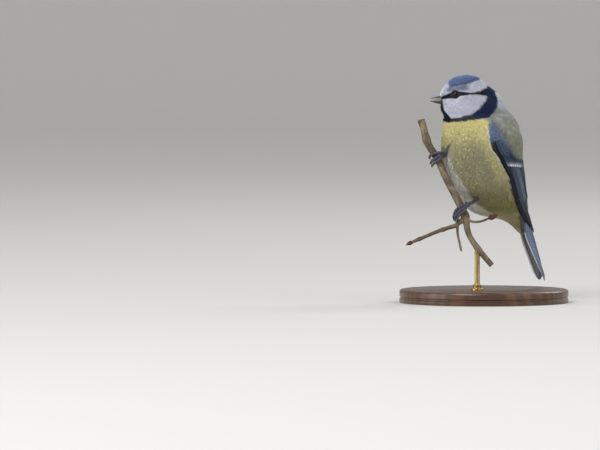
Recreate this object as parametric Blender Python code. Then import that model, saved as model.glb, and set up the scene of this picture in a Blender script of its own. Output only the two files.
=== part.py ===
"""A life-size blue tit clinging to a short length of hazel branch, on a plain display stand.

Metres, +Z up. The origin is the centre of the stand's underside. The bird's own frame is (forward, side, up):
forward is the way the breast faces, side is the bird's left, and its upright axis passes through BIRD_PLACE.
"""

import math

import bmesh
import bpy
from mathutils import Matrix, Vector

MM = 0.001
GAP = 0.3 * MM  # between neighbouring nodes

# The stand
BASE_RADIUS = 44 * MM
BASE_THICKNESS = 7 * MM
BASE_EDGE = 1.2 * MM
ROD_RADIUS = 1.3 * MM
COLLAR_RADIUS = 3.2 * MM
COLLAR_HEIGHT = 2.5 * MM
ROD_REACHES = 29.0  # the height in millimetres at which the branch stands on it

# The bird's place and headings
BIRD_PLACE = Vector((0, 4 * MM, 0))
BREAST_HEADING = math.radians(218)
HEAD_TURN = math.radians(-32)
NECK_AXIS_FORWARD = 3.0

# The body as level rings, in millimetres, from under the tail to the crown: height, how far forward of the
# neck's axis the ring's centre is, half its depth, half its width, and how much of the head's turn it takes.
BODY_RINGS = (
    (34.9, -29.3, 0.0, 0.0, 0),
    (35.6, -28.9, 0.9, 1.6, 0),
    (37.2, -27.8, 1.6, 2.6, 0),
    (39.4, -26.3, 2.5, 3.8, 0),
    (41.4, -24.4, 3.6, 5.0, 0),
    (42.9, -22.0, 5.3, 6.2, 0),
    (44.0, -19.0, 8.0, 7.8, 0),
    (45.2, -15.4, 11.4, 9.9, 0),
    (47.2, -12.4, 14.3, 12.0, 0),
    (50.2, -10.3, 15.9, 13.8, 0),
    (54.0, -8.2, 17.1, 15.3, 0),
    (58.5, -5.2, 18.9, 17.0, 0),
    (63.7, -3.2, 19.7, 17.9, 0),
    (68.9, -2.0, 20.5, 18.6, 0),
    (74.1, -1.0, 21.0, 18.9, 0),
    (79.3, -0.6, 21.1, 18.9, 0),
    (84.5, -0.9, 21.1, 18.8, 0),
    (89.7, -0.9, 20.5, 18.2, 0),
    (94.0, -0.1, 19.6, 17.1, 0.15),
    (97.5, 1.0, 18.4, 15.0, 0.5),
    (100.1, 2.7, 17.6, 13.5, 0.82),
    (102.7, 3.6, 16.8, 12.5, 0.97),
    (105.3, 4.2, 16.5, 11.9, 1),
    (107.9, 5.2, 15.5, 11.3, 1),
    (110.5, 6.2, 13.6, 10.6, 1),
    (113.1, 7.0, 10.9, 9.3, 1),
    (115.7, 7.1, 8.3, 7.3, 1),
    (117.3, 6.9, 5.7, 5.0, 1),
    (118.5, 6.8, 0.0, 0.0, 1),
)
BODY_SIDES = 30
BODY_BANDS = 44

# Where the head, neck and torso part: height in front and behind, at these distances from the neck's axis.
HEAD_CUT = {"front": (21.0, 98.8), "back": (-12.0, 110.0)}
NECK_CUT = {"front": (22.0, 94.0), "back": (-15.0, 100.0)}

# The bed that the folded wings lie on: height, forward, half depth and half width
WING_BED = (
    (30.0, -23.8, 10.6, 7.6),
    (35.0, -22.5, 10.8, 7.9),
    (41.0, -19.5, 11.8, 8.0),
    (44.0, -16.4, 13.5, 9.6),
    (47.0, -13.2, 15.2, 11.8),
    (53.3, -8.7, 17.9, 16.0),
    (58.5, -5.6, 19.2, 17.4),
    (63.7, -3.5, 20.2, 18.3),
    (68.9, -2.0, 20.8, 18.9),
    (74.1, -1.0, 21.3, 19.2),
    (79.3, -0.6, 21.4, 19.2),
    (84.5, -0.9, 21.4, 19.1),
    (89.7, -0.9, 20.8, 18.5),
    (94.0, -0.1, 19.9, 17.4),
    (100.0, 1.0, 18.0, 15.5),
)
# The folded wing's front edge: height and angle round the bed from the breast, in degrees.
WING_EDGE = (
    (100.0, 60.0), (92.0, 63.0), (84.0, 69.0), (75.7, 78.0), (68.9, 87.0), (64.2, 91.5), (60.0, 93.5),
    (56.0, 94.8), (52.4, 96.0), (50.3, 98.5), (48.1, 102.0), (46.0, 105.5), (43.9, 108.5), (41.6, 110.5),
    (39.4, 112.5), (37.2, 116.0), (35.0, 121.0), (30.0, 133.0),
)
VANE_THICKNESS = 0.6
VANE_TILT = math.radians(13)
WING_LIFT = 1.0
# How much further the wing's point stands off the body than the rest, and how many degrees further back the
# right wing's point lies. Each comes in between two heights.
POINT_LIFT = 1.2
POINT_LIFT_HEIGHTS = (54.0, 40.0)
RIGHT_POINT_BACK = 16.0
RIGHT_POINT_HEIGHTS = (66.0, 46.0)

# A vane's outline: share of its length from the root, and share of its full width
FEATHER_OUTLINE = ((0.0, 0.5), (0.2, 0.85), (0.45, 1.0), (0.72, 1.0), (0.9, 0.78), (0.97, 0.5), (1.0, 0.2))
COVERT_OUTLINE = ((0.0, 0.6), (0.5, 1.0), (0.82, 0.92), (1.0, 0.35))

# The wing's groups of feathers, each from the front edge backwards: the roots' height, the first root's angle
# behind the front edge and the step to the next, the tips' heights, the first tip's angle and step, the
# vanes' width, their lift above the lowest group, and their outline.
PRIMARY_TIPS = (38.4, 36.2, 35.6, 36.6, 39.0, 41.6, 44.2)
SECONDARY_TIPS = (50.0, 50.9, 51.8, 52.7, 53.6)
GREATER_TIPS = tuple(70.9 - 0.15 * i for i in range(8))
MEDIAN_TIPS = tuple(76.4 + 0.2 * i for i in range(6))
WING_GROUPS = (
    ("primary", 78.0, (5.0, 3.6), PRIMARY_TIPS, (3.0, 4.5), 4.2, 0.0, FEATHER_OUTLINE),
    ("secondary", 78.6, (27.0, 5.0), SECONDARY_TIPS, (27.0, 5.75), 4.6, 0.0, FEATHER_OUTLINE),
    ("tertial", 80.0, (42.0, 6.0), (54.0, 57.5, 61.5), (45.0, 7.0), 5.2, 0.35, FEATHER_OUTLINE),
    ("primary_covert", 84.0, (4.0, 3.5), (66.0, 66.8, 67.6), (3.0, 3.5), 3.2, 0.45, COVERT_OUTLINE),
    ("alula", 86.0, (3.0, 0.0), (73.5,), (4.5, 0.0), 3.0, 0.9, COVERT_OUTLINE),
    ("greater_covert", 82.0, (13.0, 5.4), GREATER_TIPS, (13.0, 5.2), 3.6, 0.75, COVERT_OUTLINE),
    ("median_covert", 88.0, (9.0, 6.4), MEDIAN_TIPS, (9.6, 6.3), 3.8, 1.2, COVERT_OUTLINE),
)

# The cushion of small coverts at the wing's shoulder: its middle and half size up the wing, the same round it
# in degrees, how far its top leans back, how high it rises, and its height at its rim
SHOULDER_HEIGHT, SHOULDER_HALF_HEIGHT = 84.0, 12.5
SHOULDER_ANGLE, SHOULDER_HALF_ANGLE = 103.5, 36.0
SHOULDER_LEAN = 18.0
SHOULDER_RISE = 2.1
SHOULDER_BASE = 0.15

# The rump over the tail's root: its centre in the bird's frame, its half sizes fore and aft, across and
# along, and how far the wings keep off it
RUMP_PLACE = (-21.2, 0.0, 57.0)
RUMP_SIZES = (4.4, 6.4, 16.0)
RUMP_CLEARANCE = 0.6

# The tail
TAIL_ROOT = (-25.1, 54.0)  # forward and height
TAIL_ROOT_BACK = 0.9
TAIL_SLOPE = math.radians(20.1)
TAIL_ROLL = math.radians(-10)
TAIL_LENGTHS = (43.9, 44.7, 45.5, 46.0, 46.1, 45.3)
TAIL_FEATHER_WIDTH = 4.5
TAIL_MIDDLE = 1.8  # how far from the ridge the middle of an innermost feather lies
TAIL_STACKING = 0.22  # how much deeper each feather lies than the one that covers it
# At shares of the tail's length: half its width along its slopes, and how steep these are in degrees
TAIL_REACH = ((0.0, 2.6), (0.2, 4.6), (0.45, 6.3), (0.7, 5.8), (1.0, 5.2))
TAIL_ROOF = ((0.0, 62.0), (0.3, 60.0), (0.5, 53.0), (0.62, 46.0), (0.75, 39.0), (0.87, 30.0), (1.0, 22.0))

# The eyes: height, angle from the bill round the head's ring, and sizes
EYE_HEIGHT = 108.35
EYE_ANGLE = math.radians(55.5)
EYE_RADIUS = 2.6
EYE_SINK = 1.75
LID_RADIUS = 2.3
LID_THICKNESS = 0.42
LID_PLACE = EYE_SINK + 0.05  # how far outside the eyeball's centre the lids' ring lies

# The bill
BILL_HEIGHT = 105.2
BILL_LENGTH = 8.4
BILL_ROOT = 3.2
UPPER_BILL = (3.3, 2.2, 0.35)  # height at the root, half width there, and how far the tip bends down
LOWER_BILL = (2.9, 2.0, -0.25)
NOSTRIL_PLACE = (1.1, 1.75, 1.35)  # ahead of the bill's root, to the side and up
NOSTRIL_RADIUS = 0.32
BILL_RISE = math.radians(3)
GAPE = math.radians(15)

# The branch's line from its upper to its lower cut end, and the twigs of its fork, in millimetres
BRANCH_LINE = ((-32.9, -5.2, 95.2), (-31.2, -5.8, 89.5), (-29.5, -6.8, 83.2), (-24.0, -8.5, 74.1),
               (-19.3, -10.8, 63.7), (-13.9, -13.2, 53.3), (-10.3, -14.8, 45.5), (-8.6, -15.9, 36.8),
               (-4.2, -16.5, 29.3), (3.6, -16.8, 20.0))
BRANCH_RADIUS = 1.9
BRANCH_THINS = 0.45  # by this much below the fork, at this share of its length
BRANCH_FORK = 0.73
BRANCH_NODES = ((0.2, 0.35), (0.67, 0.5), (0.9, 0.25))  # share of the length, and how far it swells
LEFT_TWIG = ((-10.6, -15.0, 44.6), (-14.6, -16.4, 41.0), (-19.3, -17.4, 39.4), (-24.5, -18.2, 37.6),
             (-30.6, -18.6, 35.1), (-37.4, -18.6, 32.2))
RIGHT_TWIG = ((-10.2, -15.2, 44.4), (-6.5, -17.4, 42.6), (-2.0, -18.6, 42.9), (1.9, -19.0, 44.4))
LOWER_TWIG = ((-14.2, -16.2, 41.4), (-14.3, -17.8, 37.6), (-13.3, -18.6, 32.0), (-12.3, -19.0, 27.4))
TWIG_RADIUS = 0.95
BUD_LENGTH = 5.4
BUD_RADIUS = 1.5

# The legs: the hip inside the body, the pad that the toes leave from, then each front toe's line round the
# branch
TOE_RADIUS = 0.72
CLAW_LENGTH = 2.9
CLAW_BEND = 1.5
FOOT_PAD = 1.15
TARSUS_RADIUS = 0.85
ANKLE = 1.6
LEFT_HIP, LEFT_PAD = (-0.5, -4.0, 55.4), (-8.9, -16.3, 51.3)
RIGHT_HIP, RIGHT_PAD = (-15.5, -8.5, 86.5), (-20.6, -9.2, 77.0)
LEFT_TOES = (
    ((-11.7, -17.9, 50.9), (-14.1, -18.1, 49.5), (-15.7, -17.6, 47.3), (-16.3, -16.6, 45.1)),
    ((-11.3, -18.3, 49.6), (-13.5, -18.6, 48.0), (-15.0, -18.4, 46.0), (-15.5, -17.6, 44.3)),
    ((-10.7, -18.4, 48.4), (-12.6, -18.9, 46.8), (-13.9, -18.9, 45.3), (-14.4, -18.3, 43.8)),
)
RIGHT_TOES = (
    ((-23.1, -11.4, 78.3), (-25.6, -11.5, 77.9), (-27.9, -10.4, 76.8), (-28.6, -8.2, 75.6)),
    ((-22.7, -11.7, 77.0), (-25.0, -12.0, 75.6), (-27.1, -11.0, 74.1), (-27.9, -8.9, 72.9)),
    ((-22.2, -11.9, 75.6), (-24.4, -12.3, 74.1), (-26.4, -11.5, 72.6), (-27.2, -9.5, 71.4)),
)
HIND_TOE_TURNS = (-2.4, -2.2)

SAME = 1e-6


# ---------------------------------------------------------------- curves and places


def blended(rows, at):
    """Row number at, which may lie between two rows, on a smooth curve mirrored at both ends."""
    last = len(rows) - 1
    at = min(max(at, 0.0), float(last))
    low = min(int(at), last - 1)
    t = at - low

    def row(index):
        if 0 <= index <= last:
            return Vector(rows[index])
        end, inner = (rows[0], rows[1]) if index < 0 else (rows[last], rows[last - 1])
        return 2 * Vector(end) - Vector(inner)

    before, start, end, after = (row(low + step) for step in (-1, 0, 1, 2))
    slope_in, slope_out = (end - before) / 2, (after - start) / 2
    return (start * (2 * t**3 - 3 * t**2 + 1) + slope_in * (t**3 - 2 * t**2 + t)
            + end * (3 * t**2 - 2 * t**3) + slope_out * (t**3 - t**2))


def row_at_height(rows, height):
    """The row number whose first value is height, for rows that rise or fall all the way."""
    low, high = 0.0, float(len(rows) - 1)
    rising = rows[-1][0] > rows[0][0]
    for _ in range(30):
        middle = (low + high) / 2
        if (blended(rows, middle)[0] < height) == rising:
            low = middle
        else:
            high = middle
    return (low + high) / 2


def read_at(rows, value):
    """The second value of rows where their first one is value."""
    return blended(rows, row_at_height(rows, value))[1]


def eased(value, start, end):
    """0 at start and beyond, 1 at end and beyond, with a smooth change between them."""
    share = min(max((value - start) / (end - start), 0.0), 1.0)
    return share * share * (3 - 2 * share)


def smooth_path(points, count):
    """count points, evenly numbered, on a smooth curve through points."""
    return [Vector(blended(points, i * (len(points) - 1) / (count - 1))) for i in range(count)]


def heading(turn):
    """The forward and side directions of something turned from the breast's heading by turn."""
    angle = BREAST_HEADING + turn
    return Vector((math.cos(angle), math.sin(angle), 0)), Vector((-math.sin(angle), math.cos(angle), 0))


def neck_axis(height):
    """The point of the neck's upright axis at a height in millimetres."""
    return BIRD_PLACE + heading(0)[0] * NECK_AXIS_FORWARD * MM + Vector((0, 0, height * MM))


def in_bird(forward, side, height):
    """A point of the bird's frame, in millimetres, as a point of the world."""
    ahead, left = heading(0)
    return BIRD_PLACE + (ahead * forward + left * side + Vector((0, 0, height))) * MM


def ring_point(row, angle):
    """The point at angle round a ring: 0 is in front and a quarter turn is the bird's left."""
    height, forward, depth, width = row[:4]
    ahead, left = heading(HEAD_TURN * (row[4] if len(row) > 4 else 0))
    offset = ahead * (forward + depth * math.cos(angle)) + left * width * math.sin(angle)
    return neck_axis(height) + offset * MM


def surface_point(rows, at, angle, lift=0.0):
    """The point of a ringed surface at row number at and angle round it, lift millimetres off it."""
    point = ring_point(blended(rows, at), angle)
    return point + surface_normal(rows, at, angle) * lift * MM


def surface_normal(rows, at, angle):
    """The outward normal of a ringed surface."""
    step = 0.02
    last = len(rows) - 1
    at = min(max(at, step), last - step)
    along = ring_point(blended(rows, at + step), angle) - ring_point(blended(rows, at - step), angle)
    round_it = ring_point(blended(rows, at), angle + step) - ring_point(blended(rows, at), angle - step)
    return round_it.cross(along).normalized()


# ---------------------------------------------------------------- meshes


def add_object(name, bm):
    """A new object from a bmesh, with its faces turned outwards."""
    bmesh.ops.recalc_face_normals(bm, faces=bm.faces)
    mesh = bpy.data.meshes.new(name)
    bm.to_mesh(mesh)
    bm.free()
    made = bpy.data.objects.new(name, mesh)
    bpy.context.scene.collection.objects.link(made)
    return made


def along_frames(points, up):
    """A matrix at each point of a path: x along its width, y along up and z along the path."""
    frames = []
    for i, point in enumerate(points):
        ahead = (points[min(i + 1, len(points) - 1)] - points[max(i - 1, 0)]).normalized()
        across = up.cross(ahead).normalized()
        up = ahead.cross(across)
        frames.append(Matrix.Translation(point) @ Matrix((across, up, ahead)).transposed().to_4x4())
    return frames


def lofted(name, frames, sizes, sides=8):
    """A closed tube through the frames, each with its half width and half height in sizes."""
    bm = bmesh.new()
    places = [frame @ Matrix.Diagonal((*half_sizes, 1, 1)) for frame, half_sizes in zip(frames, sizes)]
    ring = bmesh.ops.create_circle(bm, cap_ends=True, radius=1.0, segments=sides, matrix=places[0])["verts"]
    for before, place in zip(places, places[1:]):
        edges = [e for e in bm.edges if all(v in ring for v in e.verts)]
        made = bmesh.ops.extrude_edge_only(bm, edges=edges)["geom"]
        ring = [v for v in made if isinstance(v, bmesh.types.BMVert)]
        move = place @ before.inverted()
        for vert in ring:
            vert.co = move @ vert.co
    bmesh.ops.contextual_create(bm, geom=[e for e in bm.edges if all(v in ring for v in e.verts)])
    bmesh.ops.triangulate(bm, faces=bm.faces)
    return add_object(name, bm)


def tube(name, points, radii, sides=8, up=Vector((0, -1, 0))):
    """A round closed tube along points in metres, with its radii in millimetres."""
    return lofted(name, along_frames(points, up), [(r * MM, r * MM) for r in radii], sides)


def vane(name, points, normals, widths, tilt, thickness=VANE_THICKNESS):
    """A feather's flat vane: its shaft's points and the outward normals there, and its widths in millimetres.
    tilt turns it about the shaft, so that the edge to the left of its way to the tip lies higher. Its two
    faces are split into the same triangles."""
    bm = bmesh.new()
    rings = []
    last = len(points) - 1
    for i, (point, normal, width) in enumerate(zip(points, normals, widths)):
        ahead = (points[min(i + 1, last)] - points[max(i - 1, 0)]).normalized()
        out = (normal - ahead * normal.dot(ahead)).normalized()
        left = out.cross(ahead)
        across = (left * math.cos(tilt) + out * math.sin(tilt)) * width * MM / 2
        depth = across.cross(ahead).normalized() * thickness * MM / 2 * (0.45 if i == last else 1.0)
        corners = (across + depth, depth - across, -across - depth, across - depth)
        rings.append([bm.verts.new(point + corner) for corner in corners])
    for before, after in zip(rings, rings[1:]):
        for a, b in ((0, 1), (3, 2), (1, 2), (0, 3)):
            bm.faces.new((before[a], before[b], after[b]))
            bm.faces.new((before[a], after[b], after[a]))
    for ring in (rings[0], rings[-1]):
        bm.faces.new((ring[0], ring[1], ring[2]))
        bm.faces.new((ring[0], ring[2], ring[3]))
    return add_object(name, bm)


def ball(name, centre, radius, segments=16, rings=10, stretch=(1, 1, 1), turn=Matrix.Identity(3)):
    """A ball of radius millimetres, stretched along its own axes and then turned."""
    bm = bmesh.new()
    place = Matrix.Translation(centre) @ turn.to_4x4() @ Matrix.Diagonal((*stretch, 1))
    bmesh.ops.create_uvsphere(bm, u_segments=segments, v_segments=rings, radius=radius * MM, matrix=place)
    bmesh.ops.triangulate(bm, faces=bm.faces)
    return add_object(name, bm)


def ring_torus(name, centre, axis, radius, thickness, segments=20, sides=6):
    """A torus of radius and thickness millimetres about axis."""
    turn = axis.to_track_quat("Z", "Y").to_matrix().to_4x4()
    bm = bmesh.new()
    start = Matrix.Translation(centre) @ turn
    section = start @ Matrix.Translation((radius * MM, 0, 0)) @ Matrix.Rotation(math.pi / 2, 4, "X")
    made = bmesh.ops.create_circle(bm, radius=thickness * MM, segments=sides, matrix=section)["verts"]
    edges = list({e for v in made for e in v.link_edges})
    bmesh.ops.spin(bm, geom=made + edges, cent=centre, axis=axis, angle=2 * math.pi, steps=segments,
                   use_merge=True)
    bmesh.ops.triangulate(bm, faces=bm.faces)
    return add_object(name, bm)


def apply_boolean(target, operation, others):
    """Joins others to target or cuts them from it, and removes them."""
    group = bpy.data.collections.new("operands")
    for other in others:
        group.objects.link(other)
    step = target.modifiers.new(operation.title(), "BOOLEAN")
    step.operation = operation
    step.solver = "EXACT"
    step.operand_type = "COLLECTION"
    step.collection = group
    shaped = bpy.data.meshes.new_from_object(target.evaluated_get(bpy.context.evaluated_depsgraph_get()))
    target.modifiers.clear()
    target.data = shaped
    for other in others:
        bpy.data.objects.remove(other)
    bpy.data.collections.remove(group)
    keep_largest(target)
    return target


def joined(name, pieces):
    """One object from closed pieces that overlap."""
    target = apply_boolean(pieces[0], "UNION", pieces[1:])
    target.name = name
    return target


def keep_largest(target):
    """Leaves only the closed surface that holds the most."""
    bm = bmesh.new()
    bm.from_mesh(target.data)
    bmesh.ops.remove_doubles(bm, verts=bm.verts, dist=SAME)
    bmesh.ops.dissolve_degenerate(bm, edges=bm.edges, dist=SAME)
    bmesh.ops.triangulate(bm, faces=bm.faces)
    left = set(bm.faces)
    shells = []
    while left:
        shell, front = set(), [left.pop()]
        while front:
            face = front.pop()
            shell.add(face)
            for edge in face.edges:
                beside = edge.link_faces if len(edge.link_faces) == 2 else ()
                for other in beside:
                    if other in left:
                        left.remove(other)
                        front.append(other)
        shells.append(shell)

    def volume(shell):
        return sum(f.verts[0].co.dot(f.verts[1].co.cross(f.verts[2].co)) for f in shell)

    largest = max(shells, key=volume)
    for shell in shells:
        if shell is not largest:
            bmesh.ops.delete(bm, geom=list(shell), context="FACES")
    loose = [v for v in bm.verts if not v.link_faces]
    bmesh.ops.delete(bm, geom=loose, context="VERTS")
    bm.to_mesh(target.data)
    bm.free()


def sliced(source, name, planes):
    """A copy of source, cut flat by each plane (a point and a normal) and kept on the normal's far side."""
    bm = bmesh.new()
    bm.from_mesh(source.data)
    for point, normal in planes:
        geometry = bm.verts[:] + bm.edges[:] + bm.faces[:]
        bmesh.ops.bisect_plane(bm, geom=geometry, plane_co=point, plane_no=normal, clear_outer=True,
                               dist=SAME)
        bmesh.ops.holes_fill(bm, edges=[e for e in bm.edges if e.is_boundary])
    bmesh.ops.triangulate(bm, faces=bm.faces)
    return add_object(name, bm)


# ---------------------------------------------------------------- the body


def rump_turn():
    """The rump's own axes: outwards from the back, across, and along its length."""
    ahead, left = heading(0)
    along = ahead * math.sin(TAIL_SLOPE) + Vector((0, 0, math.cos(TAIL_SLOPE)))
    return Matrix((along.cross(left), left, along)).transposed()


def body_shape(name, lift=0.0, sides=BODY_SIDES, bands=BODY_BANDS):
    """The whole feathered body, head and rump included, as one closed surface."""
    bm = bmesh.new()
    bmesh.ops.create_uvsphere(bm, u_segments=sides, v_segments=bands, radius=1.0)
    last = len(BODY_RINGS) - 1
    for vert in bm.verts:
        at = math.acos(min(max(-vert.co.z, -1.0), 1.0)) / math.pi * last
        angle = math.atan2(vert.co.y, vert.co.x)
        vert.co = surface_point(BODY_RINGS, at, angle, lift)
    bmesh.ops.triangulate(bm, faces=bm.faces)
    stretch = [size + lift for size in RUMP_SIZES]
    rump = ball("rump", in_bird(*RUMP_PLACE), 1.0, 18, 12, stretch=stretch, turn=rump_turn())
    return joined(name, [add_object("trunk", bm), rump])


def cut_plane(places, turn):
    """The plane through a front and a back point that runs level from side to side, facing up."""
    ahead, left = heading(turn)
    ends = (places["front"], places["back"])
    front, back = (neck_axis(height) + ahead * forward * MM for forward, height in ends)
    normal = left.cross(back - front).normalized()
    return front, normal if normal.z > 0 else -normal


def head_point(angle, height, lift=0.0):
    """A point on the head's surface, and the normal there."""
    at = row_at_height(BODY_RINGS, height)
    return surface_point(BODY_RINGS, at, angle, lift), surface_normal(BODY_RINGS, at, angle)


def eye_centre(side):
    """The centre of the eyeball on the left (1) or right (-1), and the way that it looks."""
    point, normal = head_point(side * EYE_ANGLE, EYE_HEIGHT)
    return point - normal * EYE_SINK * MM, normal


def make_head_and_body():
    """The torso, the neck and the head, with the sockets and lids of the eyes."""
    whole = body_shape("whole")
    head_from, head_up = cut_plane(HEAD_CUT, HEAD_TURN)
    neck_from, neck_up = cut_plane(NECK_CUT, HEAD_TURN / 2)
    half = GAP / 2
    torso = sliced(whole, "torso", [(neck_from - neck_up * half, neck_up)])
    neck_cuts = [(neck_from + neck_up * half, -neck_up), (head_from - head_up * half, head_up)]
    neck = sliced(whole, "neck", neck_cuts)
    head = sliced(whole, "head", [(head_from + head_up * half, -head_up)])
    bpy.data.objects.remove(whole)
    lids, sockets = [], []
    for side in (1, -1):
        centre, look = eye_centre(side)
        rim = centre + look * LID_PLACE * MM
        lids.append(ring_torus("lid", rim, look, LID_RADIUS, LID_THICKNESS))
        sockets.append(ball("socket", centre, EYE_RADIUS + GAP / MM, 16, 12))
    apply_boolean(head, "UNION", lids)
    apply_boolean(head, "DIFFERENCE", sockets)
    return torso, neck, head


def make_eye(side):
    """One eyeball, with its pole facing out."""
    centre, look = eye_centre(side)
    name = "eye_left" if side > 0 else "eye_right"
    return ball(name, centre, EYE_RADIUS, 16, 10, turn=look.to_track_quat("Z", "Y").to_matrix())


def make_bill(body_cutter):
    """The upper and lower halves of the bill, which part along the mouth and stand a little open."""
    ahead, left = heading(HEAD_TURN)
    root, _ = head_point(0, BILL_HEIGHT)
    made = []
    for name, way, (height, width, bend) in (("bill_upper", 1, UPPER_BILL), ("bill_lower", -1, LOWER_BILL)):
        lift = BILL_RISE + way * GAPE / 2
        out = ahead * math.cos(lift) + Vector((0, 0, math.sin(lift)))
        up = left.cross(out) * -1
        frames, sizes = [], []
        steps = 9
        for i in range(steps):
            share = i / (steps - 1)
            taper = (1 - share) ** 0.75
            place = root + out * (BILL_LENGTH * share - BILL_ROOT) * MM - up * bend * share**2 * MM
            place += Vector((0, 0, way * GAP / 2))
            frames.append(Matrix.Translation(place) @ Matrix((left, up * way, out)).transposed().to_4x4())
            sizes.append((width * MM * max(taper, 0.09), height * MM * max(taper, 0.13)))
        made.append(half_loft(name, frames, sizes))
    upper, lower = made
    nostrils = []
    for side in (1, -1):
        forward, aside, up = NOSTRIL_PLACE
        place = root + (ahead * forward + left * side * aside + Vector((0, 0, up))) * MM
        nostrils.append(ball("nostril", place, NOSTRIL_RADIUS, 8, 6, stretch=(1.5, 1, 1)))
    apply_boolean(upper, "DIFFERENCE", nostrils + [copy_of(body_cutter)])
    apply_boolean(lower, "DIFFERENCE", [copy_of(body_cutter)])
    return upper, lower


def half_loft(name, frames, sizes, sides=14):
    """A closed form whose sections are the upper halves of ellipses, flat below."""
    bm = bmesh.new()
    rings = []
    for frame, (half_w, half_h) in zip(frames, sizes):
        angles = [math.pi * i / (sides // 2) for i in range(sides // 2 + 1)]
        places = [frame @ Vector((half_w * math.cos(a), half_h * math.sin(a), 0)) for a in angles]
        rings.append([bm.verts.new(place) for place in places])
    for before, after in zip(rings, rings[1:]):
        for i in range(len(before)):
            j = (i + 1) % len(before)
            bm.faces.new((before[i], before[j], after[j], after[i]))
    bm.faces.new(rings[0])
    bm.faces.new(rings[-1])
    bmesh.ops.triangulate(bm, faces=bm.faces)
    return add_object(name, bm)


def copy_of(source):
    """A second object with its own copy of the mesh."""
    made = source.copy()
    made.data = source.data.copy()
    bpy.context.scene.collection.objects.link(made)
    return made


# ---------------------------------------------------------------- feathers


def edge_angle(height):
    """The angle of the folded wing's front edge at a height."""
    return read_at(WING_EDGE, height)


def over_rump(point, normal):
    """How far in metres a point of the wing's bed moves along normal, so that the wing lies over the rump."""
    scale = Matrix.Diagonal([1 / ((size + RUMP_CLEARANCE) * MM) for size in RUMP_SIZES])
    shrink = scale @ rump_turn().transposed()
    start = shrink @ (point - in_bird(*RUMP_PLACE))
    way = shrink @ normal
    half = start.dot(way) / way.length_squared
    inside = half**2 - (start.length_squared - 1) / way.length_squared
    return max(0.0, math.sqrt(inside) - half) if inside > 0 else 0.0


def wing_feather(name, side, root, tip, width, lift, outline):
    """A vane on the wing's bed from root to tip, each a height and an angle behind the wing's front edge."""
    points, normals, widths = [], [], []
    for share, wide in outline:
        height = root[0] + (tip[0] - root[0]) * share
        behind = root[1] + (tip[1] - root[1]) * share
        if side < 0:
            behind += RIGHT_POINT_BACK * eased(height, *RIGHT_POINT_HEIGHTS)
        at = row_at_height(WING_BED, height)
        angle = side * math.radians(edge_angle(height) + behind)
        normal = surface_normal(WING_BED, at, angle)
        rise = over_rump(surface_point(WING_BED, at, angle), normal)
        rise += POINT_LIFT * MM * eased(height, *POINT_LIFT_HEIGHTS)
        points.append(surface_point(WING_BED, at, angle, lift) + normal * rise)
        normals.append(normal)
        widths.append(width * wide)
    return vane(name, points, normals, widths, side * VANE_TILT)


def wing_shoulder(side):
    """The smooth form of the wing's small coverts, a flat cushion on the bed."""
    bm = bmesh.new()
    bmesh.ops.create_uvsphere(bm, u_segments=18, v_segments=8, radius=1.0)
    for vert in bm.verts:
        along, round_it, out = vert.co.y, vert.co.x, vert.co.z
        height = SHOULDER_HEIGHT + SHOULDER_HALF_HEIGHT * along
        angle = SHOULDER_ANGLE + SHOULDER_HALF_ANGLE * round_it - SHOULDER_LEAN * along
        lift = SHOULDER_BASE + (SHOULDER_RISE * out if out > 0 else 0.1 * out)
        at = row_at_height(WING_BED, height)
        vert.co = surface_point(WING_BED, at, side * math.radians(angle), lift)
    bmesh.ops.triangulate(bm, faces=bm.faces)
    return add_object("shoulder", bm)


def make_wing(side):
    """One folded wing: the shoulder and its tiers of feathers, fused where they overlap."""
    pieces = [wing_shoulder(side)]
    for name, root_height, roots, tip_heights, tips, width, lift, outline in WING_GROUPS:
        for i, tip_height in enumerate(tip_heights):
            root = (root_height, roots[0] + roots[1] * i)
            tip = (tip_height, tips[0] + tips[1] * i)
            pieces.append(wing_feather(name, side, root, tip, width, WING_LIFT + lift, outline))
    return joined("wing_left" if side > 0 else "wing_right", pieces)


def make_tail(body_cutter):
    """Twelve tail feathers, roofed over one another from the central pair down to the outer ones."""
    ahead, left = heading(0)
    along = -ahead * math.sin(TAIL_SLOPE) - Vector((0, 0, math.cos(TAIL_SLOPE)))
    back = -ahead * math.cos(TAIL_SLOPE) + Vector((0, 0, math.sin(TAIL_SLOPE)))
    roll = Matrix.Rotation(-TAIL_ROLL, 3, along)
    back, left = roll @ back, roll @ left
    root = in_bird(TAIL_ROOT[0], 0, TAIL_ROOT[1]) + back * TAIL_ROOT_BACK * MM
    outermost = len(TAIL_LENGTHS) - 1
    pieces = []
    for k, length in enumerate(TAIL_LENGTHS):
        for side in (1, -1):
            points, normals, widths = [], [], []
            for share, wide in FEATHER_OUTLINE:
                steep = math.radians(read_at(TAIL_ROOF, share))
                out = left * side * math.cos(steep) - back * math.sin(steep)
                normal = back * math.cos(steep) + left * side * math.sin(steep)
                reach = read_at(TAIL_REACH, share) - TAIL_FEATHER_WIDTH / 2
                spread = TAIL_MIDDLE + (reach - TAIL_MIDDLE) * k / outermost
                depth = TAIL_STACKING * k
                points.append(root + (along * length * share + out * spread - normal * depth) * MM)
                normals.append(normal)
                widths.append(TAIL_FEATHER_WIDTH * wide)
            pieces.append(vane("rectrix", points, normals, widths, 0.0))
    tail = joined("tail", pieces)
    return apply_boolean(tail, "DIFFERENCE", [copy_of(body_cutter)])


# ---------------------------------------------------------------- branch, feet and stand


def branch_point(height):
    """The branch's centre at a height in millimetres, and the way that it runs downwards."""
    at = row_at_height([(p[2], p[0], p[1]) for p in BRANCH_LINE], height)
    here, there = Vector(blended(BRANCH_LINE, at - 0.05)), Vector(blended(BRANCH_LINE, at + 0.05))
    return Vector(blended(BRANCH_LINE, at)) * MM, (there - here).normalized()


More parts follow.
